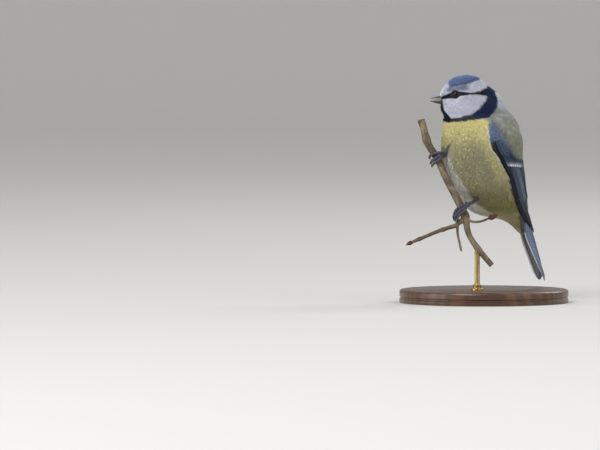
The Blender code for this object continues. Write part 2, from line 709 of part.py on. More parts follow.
def branch_radius(share):
    """The branch's radius in millimetres at a share of its length: it swells at its nodes."""
    thinner = BRANCH_THINS / (1 + math.exp(-(share - BRANCH_FORK) * 40))
    swollen = sum(size * math.exp(-(((share - at) / 0.03) ** 2)) for at, size in BRANCH_NODES)
    return BRANCH_RADIUS - thinner + swollen


def make_branch(name, clearance=0.0):
    """The cut length of branch and the three twigs of its fork, all swollen by a clearance in millimetres."""
    count = 26
    line = [p * MM for p in smooth_path(BRANCH_LINE, count)]
    pieces = [tube("stem", line, [branch_radius(i / (count - 1)) + clearance for i in range(count)], 10)]
    for twig, points, radius in (("left", LEFT_TWIG, TWIG_RADIUS), ("right", RIGHT_TWIG, 0.62 * TWIG_RADIUS),
                                 ("lower", LOWER_TWIG, 0.6 * TWIG_RADIUS)):
        steps = 3 * (len(points) - 1) + 1
        path = [p * MM for p in smooth_path(points, steps)]
        knots = [1.25 if i % 6 == 3 else 1.0 for i in range(steps)]
        radii = [radius * (1.25 - 0.35 * i / (steps - 1)) * knot for i, knot in enumerate(knots)]
        pieces.append(tube(twig, path, [r + clearance for r in radii], 8))
        if twig != "lower":
            pieces.append(bud(path, 1.0 if twig == "right" else 0.75))
    return joined(name, pieces)


def bud(path, scale):
    """A pointed bud on the end of a twig."""
    way = (path[-1] - path[-2]).normalized()
    shape = ((-0.08, 0.3), (0.1, 0.75), (0.3, 1.0), (0.55, 0.85), (0.8, 0.45), (1.0, 0.1))
    points = [path[-1] + way * BUD_LENGTH * scale * share * MM for share, _ in shape]
    return tube("bud", points, [BUD_RADIUS * scale * wide for _, wide in shape], 8)


def hind_toe(pad, turn):
    """Points from the pad round the far side of the branch."""
    centre, along = branch_point(pad.z / MM)
    out = pad - centre
    out = (out - along * out.dot(along)).normalized()
    points = [pad]
    for i in range(1, 8):
        share = i / 7
        reach = BRANCH_RADIUS + GAP / MM + TOE_RADIUS + 0.35
        away = Matrix.Rotation(turn * share, 3, along) @ out
        points.append(centre + away * reach * MM + along * (0.6 + 0.8 * share) * MM)
    return points


def make_leg(side, body_cutter, branch_cutter):
    """A leg: the bare tarsus, the foot with its four toes, and the claws."""
    suffix, hip, pad, toes = ("left", LEFT_HIP, LEFT_PAD, LEFT_TOES) if side > 0 else (
        "right", RIGHT_HIP, RIGHT_PAD, RIGHT_TOES)
    hip, pad = Vector(hip) * MM, Vector(pad) * MM
    paths = [[p * MM for p in smooth_path((pad / MM, *points), 9)] for points in toes]
    paths.append(hind_toe(pad, HIND_TOE_TURNS[0 if side > 0 else 1]))
    pieces = [ball("pad", pad, FOOT_PAD, 12, 8)]
    claws = []
    for number, path in enumerate(paths, 1):
        radii = [TOE_RADIUS * (1.0 + 0.13 * math.cos(i * 2.1)) for i in range(len(path))]
        pieces.append(tube("toe", path, radii, 8, up=Vector((0.3, 0.2, 1)).normalized()))
        claws.append(make_claw(f"claw_{suffix}_{number}", path))
    way = (pad - hip).normalized()
    ankle = pad - way * ANKLE * MM
    line = [hip.lerp(ankle - way * GAP, i / 4) for i in range(5)]
    tarsus = tube(f"leg_{suffix}", line, [TARSUS_RADIUS] * 5, 10)
    stub = [ankle, pad - way * 0.6 * ANKLE * MM, pad]
    pieces.append(tube("stub", stub, [TARSUS_RADIUS, TARSUS_RADIUS * 1.15, TARSUS_RADIUS * 1.2], 10))
    foot = joined(f"foot_{suffix}", pieces)
    for piece in (tarsus, foot):
        apply_boolean(piece, "DIFFERENCE", [copy_of(body_cutter)])
    for piece in (foot, *claws):
        apply_boolean(piece, "DIFFERENCE", [copy_of(branch_cutter)])
    return tarsus, foot, claws


def make_claw(name, toe):
    """A hooked claw that carries on from a toe's end and bends the way that the toe does."""
    way = (toe[-1] - toe[-2]).normalized()
    bend = way - (toe[-3] - toe[-4]).normalized()
    bend = (bend - way * bend.dot(way)).normalized()
    steps = 6
    points, radii = [], []
    for i in range(steps):
        share = i / (steps - 1)
        onward = way * (1.5 * GAP + CLAW_LENGTH * MM * share) + bend * CLAW_BEND * MM * share**2
        points.append(toe[-1] + onward)
        radii.append(TOE_RADIUS * 0.85 * (1 - share) ** 0.8 + 0.1)
    return tube(name, points, radii, 6, up=bend)


def make_stand(branch_cutter):
    """The turned base and the rod with its collar. The rod stops short of the branch."""
    bm = bmesh.new()
    place = Matrix.Translation((0, 0, BASE_THICKNESS / 2))
    bmesh.ops.create_cone(bm, cap_ends=True, segments=44, radius1=BASE_RADIUS, radius2=BASE_RADIUS,
                          depth=BASE_THICKNESS, matrix=place)
    rim = [e for e in bm.edges if all(abs(v.co.z - BASE_THICKNESS) < SAME for v in e.verts)]
    bmesh.ops.bevel(bm, geom=rim, offset=BASE_EDGE, segments=2, profile=0.5, affect="EDGES", material=-1)
    base = add_object("stand_base", bm)
    centre, _ = branch_point(ROD_REACHES)
    foot = Vector((centre.x, centre.y, BASE_THICKNESS + GAP))
    bm = bmesh.new()
    top = centre.z
    length = top - foot.z
    middle = foot + Vector((0, 0, length / 2))
    bmesh.ops.create_cone(bm, cap_ends=True, segments=16, radius1=ROD_RADIUS, radius2=ROD_RADIUS,
                          depth=length, matrix=Matrix.Translation(middle))
    rod = add_object("rod", bm)
    bm = bmesh.new()
    collar_middle = foot + Vector((0, 0, COLLAR_HEIGHT / 2))
    bmesh.ops.create_cone(bm, cap_ends=True, segments=24, radius1=COLLAR_RADIUS, radius2=COLLAR_RADIUS * 0.75,
                          depth=COLLAR_HEIGHT, matrix=Matrix.Translation(collar_middle))
    collar = add_object("collar", bm)
    rod = joined("stand_rod", [rod, collar])
    apply_boolean(rod, "DIFFERENCE", [copy_of(branch_cutter)])
    return base, rod


# ---------------------------------------------------------------- materials


def paint(objects, name, colour, roughness, metallic=0.0):
    """Gives objects one material."""
    material = bpy.data.materials.new(name)
    material.use_nodes = True
    shader = material.node_tree.nodes["Principled BSDF"]
    shader.inputs["Base Color"].default_value = (*colour, 1)
    shader.inputs["Roughness"].default_value = roughness
    shader.inputs["Metallic"].default_value = metallic
    for painted in objects:
        painted.data.materials.clear()
        painted.data.materials.append(material)


def place_origin(target):
    """Moves an object's origin to the middle of its box, and shades its round parts smooth."""
    corners = [Vector(corner) for corner in target.bound_box]
    middle = (corners[0] + corners[6]) / 2
    target.data.transform(Matrix.Translation(-middle))
    target.location = middle
    target.data.shade_smooth()
    target.data.set_sharp_from_angle(angle=math.radians(40))


def main():
    for old in list(bpy.data.objects):
        bpy.data.objects.remove(old)
    body_cutter = body_shape("body_cutter", lift=GAP / MM)
    torso, neck, head = make_head_and_body()
    eyes = [make_eye(side) for side in (1, -1)]
    bill = list(make_bill(body_cutter))
    wings = [make_wing(side) for side in (1, -1)]
    tail = make_tail(body_cutter)
    legs, feet, claws = [], [], []
    branch_cutter = make_branch("branch_cutter", GAP / MM)
    for side in (1, -1):
        leg, foot, toe_claws = make_leg(side, body_cutter, branch_cutter)
        legs.append(leg)
        feet.append(foot)
        claws += toe_claws
    branch = make_branch("perch_branch")
    base, rod = make_stand(branch_cutter)
    bpy.data.objects.remove(body_cutter)
    bpy.data.objects.remove(branch_cutter)
    paint([torso], "yellow_breast", (0.55, 0.50, 0.20), 0.85)
    paint([neck, head], "pale_head", (0.55, 0.55, 0.62), 0.85)
    paint(wings + [tail], "blue_vanes", (0.10, 0.14, 0.26), 0.6)
    paint(eyes, "dark_eye", (0.01, 0.008, 0.008), 0.08)
    paint(bill, "bill_horn", (0.09, 0.095, 0.11), 0.4)
    paint(legs + feet, "slate_leg", (0.13, 0.14, 0.2), 0.5)
    paint(claws, "dark_claw", (0.05, 0.05, 0.06), 0.35)
    paint([branch], "branch_bark", (0.16, 0.12, 0.07), 0.9)
    paint([base], "stand_wood", (0.05, 0.03, 0.02), 0.45)
    paint([rod], "stand_metal", (0.25, 0.22, 0.17), 0.35, 1.0)
    for node in [torso, neck, head, tail, branch, base, rod, *eyes, *bill, *wings, *legs, *feet, *claws]:
        place_origin(node)


main()
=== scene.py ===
"""The looks of the blue tit model, around its solids: skin, feathers, eyes, bill, feet, branch and stand."""

import math

import bmesh
import bpy
import numpy as np
from mathutils import Matrix, Vector
from mathutils.bvhtree import BVHTree


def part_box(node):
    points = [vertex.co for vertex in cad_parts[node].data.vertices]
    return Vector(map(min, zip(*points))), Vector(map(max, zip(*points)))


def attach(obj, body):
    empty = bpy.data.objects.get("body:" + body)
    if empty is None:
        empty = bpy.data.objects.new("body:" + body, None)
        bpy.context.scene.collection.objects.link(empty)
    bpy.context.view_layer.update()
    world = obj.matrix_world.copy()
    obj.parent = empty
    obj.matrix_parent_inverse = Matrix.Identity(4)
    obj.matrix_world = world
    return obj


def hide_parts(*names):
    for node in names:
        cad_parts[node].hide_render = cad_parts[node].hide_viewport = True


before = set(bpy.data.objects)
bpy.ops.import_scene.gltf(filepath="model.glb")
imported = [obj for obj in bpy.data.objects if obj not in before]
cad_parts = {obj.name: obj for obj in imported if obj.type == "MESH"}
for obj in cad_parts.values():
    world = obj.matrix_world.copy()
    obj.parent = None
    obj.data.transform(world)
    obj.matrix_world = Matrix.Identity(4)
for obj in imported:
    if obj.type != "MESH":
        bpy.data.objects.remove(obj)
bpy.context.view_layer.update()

bl_info = {
    "name": "Blue Tit Model",
    "version": (1, 0, 0),
    "blender": (4, 5, 0),
    "location": "3D View > Sidebar > Blue Tit",
    "description": "Dresses the solids of a life-size blue tit on its branch and stand",
    "category": "Object",
}

MM = 0.001
BODY = "root"

# ------------------------------------------------------------ shapes in millimetres, as in the solids

BIRD_PLACE = np.array((0.0, 4.0, 0.0))
BREAST_HEADING = math.radians(218)
HEAD_TURN = math.radians(-32)
NECK_AXIS_FORWARD = 3.0

# Level rings: height, how far forward of the neck's axis, half depth, half width, share of the head's turn
BODY_RINGS = (
    (34.9, -29.3, 0.0, 0.0, 0),
    (35.6, -28.9, 0.9, 1.6, 0),
    (37.2, -27.8, 1.6, 2.6, 0),
    (39.4, -26.3, 2.5, 3.8, 0),
    (41.4, -24.4, 3.6, 5.0, 0),
    (42.9, -22.0, 5.3, 6.2, 0),
    (44.0, -19.0, 8.0, 7.8, 0),
    (45.2, -15.4, 11.4, 9.9, 0),
    (47.2, -12.4, 14.3, 12.0, 0),
    (50.2, -10.3, 15.9, 13.8, 0),
    (54.0, -8.2, 17.1, 15.3, 0),
    (58.5, -5.2, 18.9, 17.0, 0),
    (63.7, -3.2, 19.7, 17.9, 0),
    (68.9, -2.0, 20.5, 18.6, 0),
    (74.1, -1.0, 21.0, 18.9, 0),
    (79.3, -0.6, 21.1, 18.9, 0),
    (84.5, -0.9, 21.1, 18.8, 0),
    (89.7, -0.9, 20.5, 18.2, 0),
    (94.0, -0.1, 19.6, 17.1, 0.15),
    (97.5, 1.0, 18.4, 15.0, 0.5),
    (100.1, 2.7, 17.6, 13.5, 0.82),
    (102.7, 3.6, 16.8, 12.5, 0.97),
    (105.3, 4.2, 16.5, 11.9, 1),
    (107.9, 5.2, 15.5, 11.3, 1),
    (110.5, 6.2, 13.6, 10.6, 1),
    (113.1, 7.0, 10.9, 9.3, 1),
    (115.7, 7.1, 8.3, 7.3, 1),
    (117.3, 6.9, 5.7, 5.0, 1),
    (118.5, 6.8, 0.0, 0.0, 1),
)
RUMP_PLACE = (-21.2, 0.0, 57.0)
RUMP_SIZES = (4.4, 6.4, 16.0)
RUMP_CLEARANCE = 0.6

# The bed that the folded wings lie on: height, forward, half depth and half width
WING_BED = (
    (30.0, -23.8, 10.6, 7.6),
    (35.0, -22.5, 10.8, 7.9),
    (41.0, -19.5, 11.8, 8.0),
    (44.0, -16.4, 13.5, 9.6),
    (47.0, -13.2, 15.2, 11.8),
    (53.3, -8.7, 17.9, 16.0),
    (58.5, -5.6, 19.2, 17.4),
    (63.7, -3.5, 20.2, 18.3),
    (68.9, -2.0, 20.8, 18.9),
    (74.1, -1.0, 21.3, 19.2),
    (79.3, -0.6, 21.4, 19.2),
    (84.5, -0.9, 21.4, 19.1),
    (89.7, -0.9, 20.8, 18.5),
    (94.0, -0.1, 19.9, 17.4),
    (100.0, 1.0, 18.0, 15.5),
)
# The folded wing's front edge: height and angle round the bed from the breast, in degrees
WING_EDGE = (
    (100.0, 60.0), (92.0, 63.0), (84.0, 69.0), (75.7, 78.0), (68.9, 87.0), (64.2, 91.5), (60.0, 93.5),
    (56.0, 94.8), (52.4, 96.0), (50.3, 98.5), (48.1, 102.0), (46.0, 105.5), (43.9, 108.5), (41.6, 110.5),
    (39.4, 112.5), (37.2, 116.0), (35.0, 121.0), (30.0, 133.0),
)
WING_LIFT = 1.0
# How much further the wing's point stands off the body than the rest of the wing, and between which heights
WING_POINT_LIFT = 1.2
WING_POINT_HEIGHTS = (40, 54)
# How many degrees further back the right wing's point lies, and between which heights
FAR_WING_BACK = 16.0
FAR_WING_HEIGHTS = (46, 66)
VANE_TILT = math.radians(13)
VANE_THICKNESS = 0.22
SHOULDER_HEIGHT, SHOULDER_HALF_HEIGHT = 84.0, 12.5
SHOULDER_ANGLE, SHOULDER_HALF_ANGLE = 103.5, 36.0
SHOULDER_LEAN = 18.0
SHOULDER_RISE = 2.1
# How far the coat swells over the shoulders, at which height and degrees round, and how widely
SWELL = 1.7
SWELL_HEIGHT, SWELL_HEIGHT_REACH = 90, 5.5
SWELL_TURN, SWELL_TURN_REACH = 98, 27

TAIL_ROOT = (-25.1, 54.0)
TAIL_SLOPE = math.radians(20.1)
TAIL_ROLL = math.radians(-10)
TAIL_LENGTHS = (43.9, 44.7, 45.5, 46.0, 46.1, 45.3)
TAIL_FEATHER_WIDTH = 4.5
TAIL_ROOT_BACK = 0.9
# How far the middle pair's shafts lie from the middle, and how far each pair lies under the last
TAIL_MIDDLE = 1.8
TAIL_STACKING = 0.22
# At shares of the tail's length: half its width along its slopes, and how steep they are in degrees
TAIL_REACH = ((0.0, 2.6), (0.2, 4.6), (0.45, 6.3), (0.7, 5.8), (1.0, 5.2))
TAIL_ROOF = ((0.0, 62.0), (0.3, 60.0), (0.5, 53.0), (0.62, 46.0), (0.75, 39.0), (0.87, 30.0), (1.0, 22.0))

EYE_HEIGHT = 108.35
EYE_ANGLE = math.radians(55.5)
EYE_RADIUS = 2.6
EYE_SINK = 1.75
LID_RADIUS = 2.06
LID_THICKNESS = 0.21
LID_BEADS = 24

BILL_HEIGHT = 105.2
BILL_LENGTH = 8.4
BILL_ROOT = 3.2
BILL_RISE = math.radians(3)
GAPE = math.radians(15)
# Each half of the bill: node, up or down, height, width and bend at its tip
BILL_HALVES = (("bill_upper", 1, 3.3, 2.2, 0.35), ("bill_lower", -1, 2.9, 2.0, -0.25))
NOSTRIL_FORWARD, NOSTRIL_RISE = 1.3, 1.45

BRANCH_LINE = (
    (-32.9, -5.2, 95.2), (-31.2, -5.8, 89.5), (-29.5, -6.8, 83.2), (-24.0, -8.5, 74.1), (-19.3, -10.8, 63.7),
    (-13.9, -13.2, 53.3), (-10.3, -14.8, 45.5), (-8.6, -15.9, 36.8), (-4.2, -16.5, 29.3), (3.6, -16.8, 20.0),
)
BRANCH_RADIUS = 1.9
BRANCH_THINS = 0.45
BRANCH_FORK = 0.73
# Swollen joints of the stem: shares of the way down it, and how much they swell
BRANCH_NODES = ((0.2, 0.35), (0.67, 0.5), (0.9, 0.25))
LEFT_TWIG = (
    (-10.6, -15.0, 44.6), (-14.6, -16.4, 41.0), (-19.3, -17.4, 39.4), (-24.5, -18.2, 37.6),
    (-30.6, -18.6, 35.1), (-37.4, -18.6, 32.2),
)
RIGHT_TWIG = ((-10.2, -15.2, 44.4), (-6.5, -17.4, 42.6), (-2.0, -18.6, 42.9), (1.9, -19.0, 44.4))
LOWER_TWIG = ((-14.2, -16.2, 41.4), (-14.3, -17.8, 37.6), (-13.3, -18.6, 32.0), (-12.3, -19.0, 27.4))
TWIG_RADIUS = 0.95
# Each twig: its line, its radius, and its bud's size, if it has one
TWIGS = (
    (LEFT_TWIG, TWIG_RADIUS, 0.75),
    (RIGHT_TWIG, 0.62 * TWIG_RADIUS, 1.0),
    (LOWER_TWIG, 0.6 * TWIG_RADIUS, 0.0),
)
BUD_LENGTH = 5.4
BUD_RADIUS = 1.5
BUD_PROFILE = ((-0.08, 0.35), (0.1, 0.72), (0.3, 0.95), (0.55, 0.8), (0.8, 0.42), (1.0, 0.05))
BUD_SCALES = 7

TOE_RADIUS = 0.72
CLAW_LENGTH = 2.9
CLAW_BEND = 1.5
TARSUS_RADIUS = 0.85
PAD_RADIUS = 1.25
LEFT_HIP, LEFT_PAD = (-0.5, -4.0, 55.4), (-8.9, -16.3, 51.3)
RIGHT_HIP, RIGHT_PAD = (-15.5, -8.5, 86.5), (-20.6, -9.2, 77.0)
LEFT_TOES = (
    ((-11.7, -17.9, 50.9), (-14.1, -18.1, 49.5), (-15.7, -17.6, 47.3), (-16.3, -16.6, 45.1)),
    ((-11.3, -18.3, 49.6), (-13.5, -18.6, 48.0), (-15.0, -18.4, 46.0), (-15.5, -17.6, 44.3)),
    ((-10.7, -18.4, 48.4), (-12.6, -18.9, 46.8), (-13.9, -18.9, 45.3), (-14.4, -18.3, 43.8)),
)
RIGHT_TOES = (
    ((-23.1, -11.4, 78.3), (-25.6, -11.5, 77.9), (-27.9, -10.4, 76.8), (-28.6, -8.2, 75.6)),
    ((-22.7, -11.7, 77.0), (-25.0, -12.0, 75.6), (-27.1, -11.0, 74.1), (-27.9, -8.9, 72.9)),
    ((-22.2, -11.9, 75.6), (-24.4, -12.3, 74.1), (-26.4, -11.5, 72.6), (-27.2, -9.5, 71.4)),
)
# The left and the right leg: hip, pad, front toes, and how far the hind toe goes round the branch in radians
LEGS = {1: (LEFT_HIP, LEFT_PAD, LEFT_TOES, -2.4), -1: (RIGHT_HIP, RIGHT_PAD, RIGHT_TOES, -2.2)}

# The brass rod and its collar
ROD_RADIUS = 1.3
COLLAR_RADIUS = 3.2
# The turned base: the rounding of its lower and upper edge
BASE_LOWER_EDGE, BASE_UPPER_EDGE = 0.5, 1.6

# ------------------------------------------------------------ the plumage's markings

# Lines round the head: angle round from the bill in degrees, and height. They are the same on both sides.
CAP_EDGE = (
    (0, 114.6), (20, 113.2), (41, 112.4), (53, 112.9), (67, 113.5), (91, 114.2), (115, 115.6), (165, 116.8),
    (180, 117.0),
)
STRIPE_TOP = (
    (0, 106.6), (13, 107.1), (30, 108.2), (42, 109.0), (57, 110.3), (68, 109.8), (89, 109.5), (108, 110.2),
    (127, 111.5), (142, 112.2), (158, 113.1), (180, 113.4),
)
STRIPE_BOTTOM = (
    (0, 105.0), (13, 105.5), (30, 106.1), (41, 106.3), (55, 106.3), (67, 107.6), (87, 108.5), (103, 108.6),
    (115, 108.0), (180, 108.0),
)
CHEEK_BOTTOM = (
    (0, 95.8), (6, 95.9), (36, 96.5), (65, 98.5), (91, 101.1), (108, 104.8), (118, 107.6), (119, 114),
    (180, 114),
)
COLLAR_BOTTOM = (
    (0, 94.0), (29, 94.5), (49, 95.0), (67, 95.5), (83, 96.2), (97, 98.0), (117, 100.1), (130, 102.2),
    (137, 104.3), (143, 106.9), (148, 108.5), (155, 109.5), (165, 109.8), (180, 109.6),
)
STRIPE_BACK = 124
BIB_TOP = 105.6
# Lines up the body: height, and angle round from the breast in degrees.
# The bib's half width
BIB = ((92.0, 0.0), (94.0, 13.0), (98.5, 13.0), (100.0, 14.0), (103.0, 16.0), (105.3, 17.0), (106.0, 0.0))
# Where the green mantle starts behind the yellow side
MANTLE_EDGE = (
    (34.0, 30.0), (37.0, 48.0), (40.0, 68.0), (43.0, 93.0), (47.0, 107.0), (50.0, 118.0), (60.0, 125.0),
    (75.0, 110.0), (84.0, 90.0), (90.0, 75.0), (95.0, 71.0), (99.0, 76.0),
)
# The dark line down the belly, a little to the right of the middle
STREAK = (
    (48.0, -6.0), (53.0, -3.0), (58.5, 0.0), (63.7, -7.3), (71.5, -9.1), (79.8, -6.6), (83.5, 4.5),
    (86.0, 7.0),
)
# The pale middle of the belly, round that line: its half width
BELLY = (
    (44.0, 55.0), (48.0, 38.0), (53.0, 18.0), (58.0, 18.0), (64.0, 20.0), (69.0, 13.0), (80.0, 6.0),
    (87.0, 0.0),
)
# The front of the green feathers that lie over the wing's shoulder
SCAPULAR_EDGE = (
    (70.0, 117.0), (72.0, 112.0), (75.7, 103.0), (79.0, 95.0), (84.5, 84.0), (90.0, 77.0), (97.0, 68.0),
)
# The rear of the part of the body that the folded wing hides
HIDDEN_REAR = ((45, 112), (52, 130), (60, 138), (70, 132), (84, 126), (94, 105))

# Heights between which a colour gives way to the next one up
TAIL_ROOT_FADE = (40, 50)
VENT_FADE = (43, 50)
LOWER_FLANK_FADE = (44, 66)
RUMP_FADE = (50, 66)
SIDE_FADE = (58, 70)
PALE_FADE = (74, 82)
COVERT_FADE = (75, 88)
FLANK_FADE = (77, 93)
WING_EDGE_FADE = (81.5, 85)
BACK_FADE = (86, 101)
NAPE_FADE = (97.5, 104)
# The painted shade low on the cheek fades out between these heights
CHEEK_SHADE_FADE = (98, 104)
# Degrees round between which a colour gives way to the next one back
BREAST_TURNS = (15, 40)
FOREHEAD_TURNS = (14, 40)
COLLAR_TURNS = (48, 74)
NAPE_TURNS = (118, 140)


def srgb(red, green, blue):
    """A colour given as it is seen, 0 to 255, as the linear values that materials take."""
    shares = (value / 255 for value in (red, green, blue))
    return tuple(s / 12.92 if s <= 0.04045 else ((s + 0.055) / 1.055) ** 2.4 for s in shares)


# Dark colours without a setting of their own
# Near black of the wing's dark feathers, also laid on as painted shadow in the gap between the body and the
# wing and along the wing's front edge
WING_BLACK_AND_SHADOW = np.array(srgb(13, 14, 19))
WORN_TIP = np.array(srgb(86, 78, 78))
PUPIL = np.array((0.003, 0.003, 0.004))
EYE_RIM = np.array((0.01, 0.008, 0.008))
# Painted shade inside the nostril's opening
NOSTRIL_SHADOW = np.array((0.004, 0.004, 0.004))


def colour_property(name, value, description):
    return bpy.props.FloatVectorProperty(
        name=name, default=srgb(*value), subtype="COLOR", size=3, min=0, max=1, description=description)


def length_property(name, value, description):
    return bpy.props.FloatProperty(
        name=name, default=value * MM, unit="LENGTH", min=0, precision=5, description=description)


class PlumageColours(bpy.types.PropertyGroup):
    cap: colour_property("Cap", (114, 136, 182), "Crown")
    cap_dark: colour_property("Cap streaks", (68, 86, 138), "Darker streaks of the crown")
    white: colour_property("White", (234, 236, 250), "Forehead, brow and cheek")
    stripe: colour_property("Eye stripe", (26, 28, 44), "Line through the eye, and bib")
    collar: colour_property("Collar", (32, 46, 88), "Band round the cheek and nape")
    nape: colour_property("Nape", (232, 233, 245), "Pale patch under the nape band")
    breast: colour_property("Breast", (244, 235, 168), "Upper breast and the edge along the wing")
    # The flank and lower flank are darker than the breast partly in their own colour and partly as painted
    # shade of the underside
    flank: colour_property("Flank", (176, 172, 138), "Middle of the breast and flanks")
    belly: colour_property("Lower flank", (160, 152, 82), "Lowest part of the flanks")
    pale: colour_property("Belly", (250, 248, 242), "Pale middle of the belly")
    streak: colour_property("Belly streak", (92, 94, 104), "Dark line down the belly")
    vent: colour_property("Vent", (228, 222, 172), "Under the tail's root")
    mantle: colour_property("Mantle", (163, 166, 151), "Back and the feathers over the shoulder")
    rump: colour_property("Rump", (166, 168, 132), "Lower back")
    lesser: colour_property("Small coverts", (121, 139, 174), "Shoulder of the wing")
    covert: colour_property("Great coverts", (52, 64, 84), "Larger coverts")
    bar: colour_property("Wing bar", (232, 236, 242), "White tips of the great coverts")
    flight: colour_property("Flight feathers", (54, 56, 70), "Inner webs of the flight feathers")
    edge: colour_property("Flight edges", (86, 101, 126), "Outer webs of the flight feathers")
    tertial: colour_property("Tertials", (80, 97, 102), "Innermost wing feathers")
    tail: colour_property("Tail", (104, 121, 158), "Upper side of the tail")
    tail_under: colour_property("Tail under side", (138, 136, 138), "Under side of the tail")


class BareColours(bpy.types.PropertyGroup):
    bill: colour_property("Bill", (58, 60, 66), "Ridge and keel of the bill")
    bill_edge: colour_property("Bill edges", (126, 126, 132), "Cutting edges of the upper bill")
    bill_lower: colour_property("Lower bill", (88, 78, 80), "Sides of the lower bill")
    gape: colour_property("Mouth", (88, 54, 52), "Inside of the bill")
    iris: colour_property("Iris", (16, 10, 8), "Ring round the pupil")
    leg: colour_property("Leg", (78, 78, 91), "Scales of the legs and toes")
    leg_dark: colour_property("Leg seams", (40, 38, 44), "Between the scales of the legs and toes")
    claw: colour_property("Claw", (26, 25, 28), "Claws")


class PerchColours(bpy.types.PropertyGroup):
    bark: colour_property("Bark", (138, 128, 100), "Olive parts of the bark")
    bark_dark: colour_property("Bark shadow", (92, 78, 70), "Brown parts of the bark")
    lenticel: colour_property("Bark specks", (178, 168, 142), "Raised pale specks")
    bud: colour_property("Bud", (70, 38, 35), "Scales of the buds")
    cut: colour_property("Cut wood", (206, 184, 138), "Cut ends of the branch")
    base: colour_property("Base", (92, 62, 40), "Turned wood of the stand")
    base_dark: colour_property("Base grain", (52, 32, 20), "Dark lines of its grain")
    metal: colour_property("Rod", (176, 150, 98), "Brass of the rod")


class FeatherSizes(bpy.types.PropertyGroup):
    body_depth: length_property("Body coat", 1.7, "Depth of the coat over the skin of the body")
    head_depth: length_property("Head coat", 0.85, "Depth of the coat over the skin of the head")
    body_length: length_property("Body feathers", 6.4, "Length of a feather that shows on the body")
    head_length: length_property("Head feathers", 2.8, "Length of a feather that shows on the head")
    face_length: length_property("Face feathers", 1.4, "Length of a feather next to the bill and the eye")
    body_spacing: length_property("Body spacing", 1.12, "Distance between the roots on the body")
    head_spacing: length_property("Head spacing", 0.74, "Distance between the roots on the head")


class StageSettings(bpy.types.PropertyGroup):
    distance: bpy.props.FloatProperty(
        name="Camera distance", default=3.0, unit="LENGTH", description="From the camera to the bird")
    elevation: bpy.props.FloatProperty(
        name="Camera elevation", default=math.radians(2), subtype="ANGLE", description="Above the level")
    lens: bpy.props.FloatProperty(name="Lens", default=346.0, description="Focal length in millimetres")
    aim_x: length_property("Aim across", 95.7, "How far left of the stand's middle the camera looks")
    aim_z: length_property("Aim height", 40.3, "Height that the camera looks at")
    floor: colour_property("Floor", (224, 222, 218), "Floor")


# ------------------------------------------------------------ surfaces


def blended(rows, at):
    """The rows read at numbers that may lie between two rows, on a smooth curve through them."""
    rows = np.asarray(rows, float)
    last = len(rows) - 1
    at = np.clip(np.asarray(at, float), 0, last)
    low = np.minimum(at.astype(int), last - 1)
    t = (at - low)[..., None]
    padded = np.vstack((2 * rows[0] - rows[1], rows, 2 * rows[-1] - rows[-2]))
    before, start, end, after = (padded[low + step] for step in range(4))
    slope_in, slope_out = (end - before) / 2, (after - start) / 2
    return (start * (2 * t**3 - 3 * t**2 + 1) + slope_in * (t**3 - 2 * t**2 + t)
            + end * (3 * t**2 - 2 * t**3) + slope_out * (t**3 - t**2))


def row_at(rows, value):
    """The row number whose first value is value."""
    numbers = np.linspace(0, len(rows) - 1, 4001)
    values = blended(rows, numbers)[:, 0]
    order = np.argsort(values)
    return np.interp(value, values[order], numbers[order])


def read_line(line, at):
    """A marking's line read at at."""
    places, values = zip(*line)
    return np.interp(at, places, values)


def smooth_step(value, low, high):
    """0 up to low, 1 from high on, and a smooth rise between."""
    share = np.clip((np.asarray(value) - low) / (high - low), 0, 1)
    return share * share * (3 - 2 * share)


def heading(turn):
    """The forward and left directions of something turned from the breast's heading."""
    angle = np.asarray(BREAST_HEADING + turn)
    zero = np.zeros_like(angle)
    ahead = np.stack((np.cos(angle), np.sin(angle), zero), -1)
    left = np.stack((-np.sin(angle), np.cos(angle), zero), -1)
    return ahead, left


def unit(vectors):
    """Vectors brought to a length of 1."""
    return vectors / np.maximum(np.linalg.norm(vectors, axis=-1, keepdims=True), 1e-12)


def side_name(side):
    """The side's name in the names of pieces: 1 is left and -1 is right."""
    return "left" if side > 0 else "right"


def in_bird(forward, side, height):
    """A place in the bird's own frame as a place in the world, in millimetres."""
    ahead, left = heading(0.0)
    return BIRD_PLACE + ahead * forward + left * side + np.array((0, 0, height))


def ring_points(rows, at, angle):
    """Points at row numbers at and angles round a ringed surface."""
    values = blended(rows, at)
    height, forward, depth, width = (values[..., i] for i in range(4))
    turn = values[..., 4] if values.shape[-1] > 4 else np.zeros_like(height)
    ahead, left = heading(HEAD_TURN * turn)
    middle = BIRD_PLACE + heading(0.0)[0] * NECK_AXIS_FORWARD
    points = middle + ahead * (forward + depth * np.cos(angle))[..., None]
    points = points + left * (width * np.sin(angle))[..., None]
    points[..., 2] += height
    return points


def ring_normals(rows, at, angle):
    """The outward directions of a ringed surface."""
    step = 0.02
    at = np.clip(at, step, len(rows) - 1 - step)
    along = ring_points(rows, at + step, angle) - ring_points(rows, at - step, angle)
    round_it = ring_points(rows, at, angle + step) - ring_points(rows, at, angle - step)
    return unit(np.cross(round_it, along))


def over_rump(points, normals, clearance):
    """How far points are lifted along normals to lie over the rump."""
    ahead, left = heading(0.0)
    along = ahead * math.sin(TAIL_SLOPE) + np.array((0, 0, math.cos(TAIL_SLOPE)))
    axes = np.stack((np.cross(along, left), left, along))
    sizes = np.array(RUMP_SIZES) + clearance
    start = (points - in_bird(*RUMP_PLACE)) @ axes.T / sizes
    way = normals @ axes.T / sizes
    length = (way * way).sum(-1)
    half = (start * way).sum(-1) / length
    inside = half**2 - ((start * start).sum(-1) - 1) / length
    return np.where(inside > 0, np.maximum(0, np.sqrt(np.maximum(inside, 0)) - half), 0)


def signed_degrees(angle):
    """An angle in radians as degrees from -180 to 180."""
    return np.degrees((angle + math.pi) % (2 * math.pi) - math.pi)


